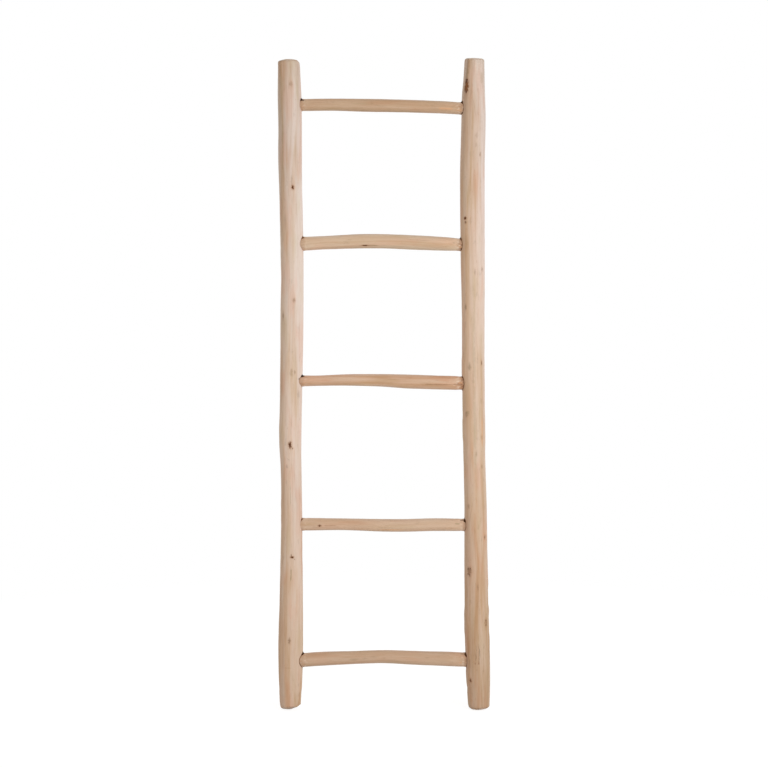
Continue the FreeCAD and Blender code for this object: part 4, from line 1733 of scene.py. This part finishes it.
def make_nails():
    """All ten nails as one piece, each with its head at the back."""
    seats, lengths, heads = [], [], []
    for nail in NAILS:
        low, high = (Vector(corner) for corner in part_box(nail))
        seats.append(((low.x + high.x) / 2, high.y, (low.z + high.z) / 2))
        lengths.append(high.y - low.y)
        heads.append((high.x - low.x) / 2)
    mesh = bpy.data.meshes.new("nail_seats")
    mesh.from_pydata(seats, [], [])
    piece = add_piece("nails", mesh)
    values = {"Nail Length": lengths[0], "Head Radius": heads[0], "Material": nail_steel()}
    apply_tree(piece, nails_tree(), values)
    make_outward(piece.data)
    round_off(piece)
    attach(piece, "root")
    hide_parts(*NAILS)


RAIL_BRANCHES = {name: read_rail(name) for name in RAILS}
RUNG_BRANCHES = {name: read_rung(name) for name in RUNGS}
MORTISES, MOUTHS = measure_joints()
WORKED_SURFACE = worked_surface_tree()
WOODS = {
    "left_rail": peeled_wood("left_rail_wood", LEFT_TONES, 1, (0, 1.5), (("X", 1), ("Y", -1))),
    "right_rail": peeled_wood("right_rail_wood", RIGHT_TONES, 2, (0, 1.5), (("X", 1), ("Y", -1))),
}
for number, rung_name in enumerate(RUNGS, 1):
    ends = {kind: [(0.0, tone), (1.0, tone)] for kind, tone in RUNG_TONES[rung_name].items()}
    rung_tones = {**RUNG_CASTS, **ends}
    turned = (("Y", 1), ("X", -1))
    WOODS[rung_name] = peeled_wood(
        rung_name + "_wood", rung_tones, number + 4, (-0.2, 0.2), turned, RUNG_PATCHES[rung_name]
    )
END_GRAIN = end_grain("sawn_end", LEFT_TONES)
BORED = bored_wood("bored_wood", LEFT_TONES)

make_rails()
make_rungs()
make_nails()
make_glue_and_gap_shade()

# ---------------------------------------------------------------- floor, light and camera


def seen_directly(nodes):
    """1 where the camera looks, straight or in a mirror or through glass, and 0 for all other light."""
    light = nodes.node("ShaderNodeLightPath").outputs
    seen = nodes.math("MAXIMUM", light["Is Camera Ray"], light["Is Glossy Ray"])
    return nodes.math("MAXIMUM", seen, light["Is Transmission Ray"])


def make_floor():
    """A pale floor. Near the ladder it keeps the soft shadow, and further off it fades into white."""
    mesh = bpy.data.meshes.new("floor")
    corners = [(x * FLOOR_REACH, y * FLOOR_REACH, 0) for x, y in ((-1, -1), (1, -1), (1, 1), (-1, 1))]
    mesh.from_pydata(corners, [], [(0, 1, 2, 3)])
    floor = add_piece("floor", mesh)
    finish = Finish("pale_floor")
    place = finish.node("ShaderNodeTexCoord").outputs["Object"]
    distance = finish.node("ShaderNodeVectorMath", {0: place}, operation="LENGTH").outputs["Value"]
    far = finish.between(distance, *FLOOR_FADE)
    seen = seen_directly(finish)
    colour = finish.mix(seen, FLOOR_TONE, finish.mix(far, SHADOWED_TONE, BLACK))
    finish.feed(finish.shader.inputs["Base Color"], colour)
    finish.shader.inputs["Roughness"].default_value = 0.9
    finish.shader.inputs["Specular IOR Level"].default_value = 0.0
    finish.shader.inputs["Emission Color"].default_value = WHITE
    glow = finish.math("MULTIPLY", seen, finish.between(far, 0.0, 1.0, FLOOR_GLOW, 1.0))
    finish.feed(finish.shader.inputs["Emission Strength"], glow)
    mesh.materials.append(finish.material)


def make_world():
    """White where the camera looks past the ladder, and a soft even light from all round."""
    world = bpy.data.worlds.new("studio")
    bpy.context.scene.world = world
    world.use_nodes = True
    nodes = Nodes(world.node_tree)
    colour = nodes.mix(seen_directly(nodes), FILL_COLOUR, WHITE)
    nodes.feed(world.node_tree.nodes["Background"].inputs["Color"], colour)
def make_lamp(name, place, target, size, power, color):
    data = bpy.data.lights.new(name, "AREA")
    data.shape = "RECTANGLE"
    data.size, data.size_y = size
    data.energy = power
    data.color = color
    lamp = bpy.data.objects.new(name, data)
    lamp.location = place
    lamp.rotation_euler = (Vector(target) - Vector(place)).to_track_quat("-Z", "Y").to_euler()
    bpy.context.collection.objects.link(lamp)


def make_camera():
    """Nearly square on, a little above the ladder's middle."""
    data = bpy.data.cameras.new("camera")
    data.sensor_width = 36.0
    data.lens = CAMERA_LENS
    camera = bpy.data.objects.new("camera", data)
    camera.location = CAMERA_PLACE
    camera.rotation_euler = (CAMERA_AIM - CAMERA_PLACE).to_track_quat("-Z", "Y").to_euler()
    bpy.context.collection.objects.link(camera)
    bpy.context.scene.camera = camera


CAMERA_PLACE = Vector((-0.001, -4.2, 0.95))
CAMERA_AIM = Vector((-0.001, 0, 0.7548))
CAMERA_LENS = 85.68
WHITE, BLACK = (1, 1, 1, 1), (0, 0, 0, 1)
FLOOR_REACH = 30.0
FLOOR_FADE = (0.9, 2.0)  # metres from the ladder, between which the floor turns white
FLOOR_TONE = (0.86, 0.86, 0.86, 1)  # what the ladder sees
SHADOWED_TONE = (0.26, 0.26, 0.26, 1)  # near the ladder, added to the glow: it shows the shadow
FLOOR_GLOW = 0.86
FILL_COLOUR = (0.49, 0.48, 0.47, 1)
# Where each lamp is, what it points at, its width and height, its power and its colour.
LAMPS = {
    "key": ((2.15, -3.25, 1.9), (0, 0, 0.75), (1.8, 2.2), 79.2, (1.0, 0.995, 0.985)),
    "back_left": ((-2.5, 2.8, 1.1), (0, 0, 0.6), (1.6, 2.0), 23.0, (0.96, 0.99, 1.0)),
    "back_right": ((2.5, 2.8, 1.1), (0, 0, 0.6), (1.6, 2.0), 25.0, (0.96, 0.99, 1.0)),
}

make_floor()
make_world()
for lamp_name, settings in LAMPS.items():
    make_lamp(lamp_name, *settings)
make_camera()
bpy.context.scene.view_settings.view_transform = "Standard"
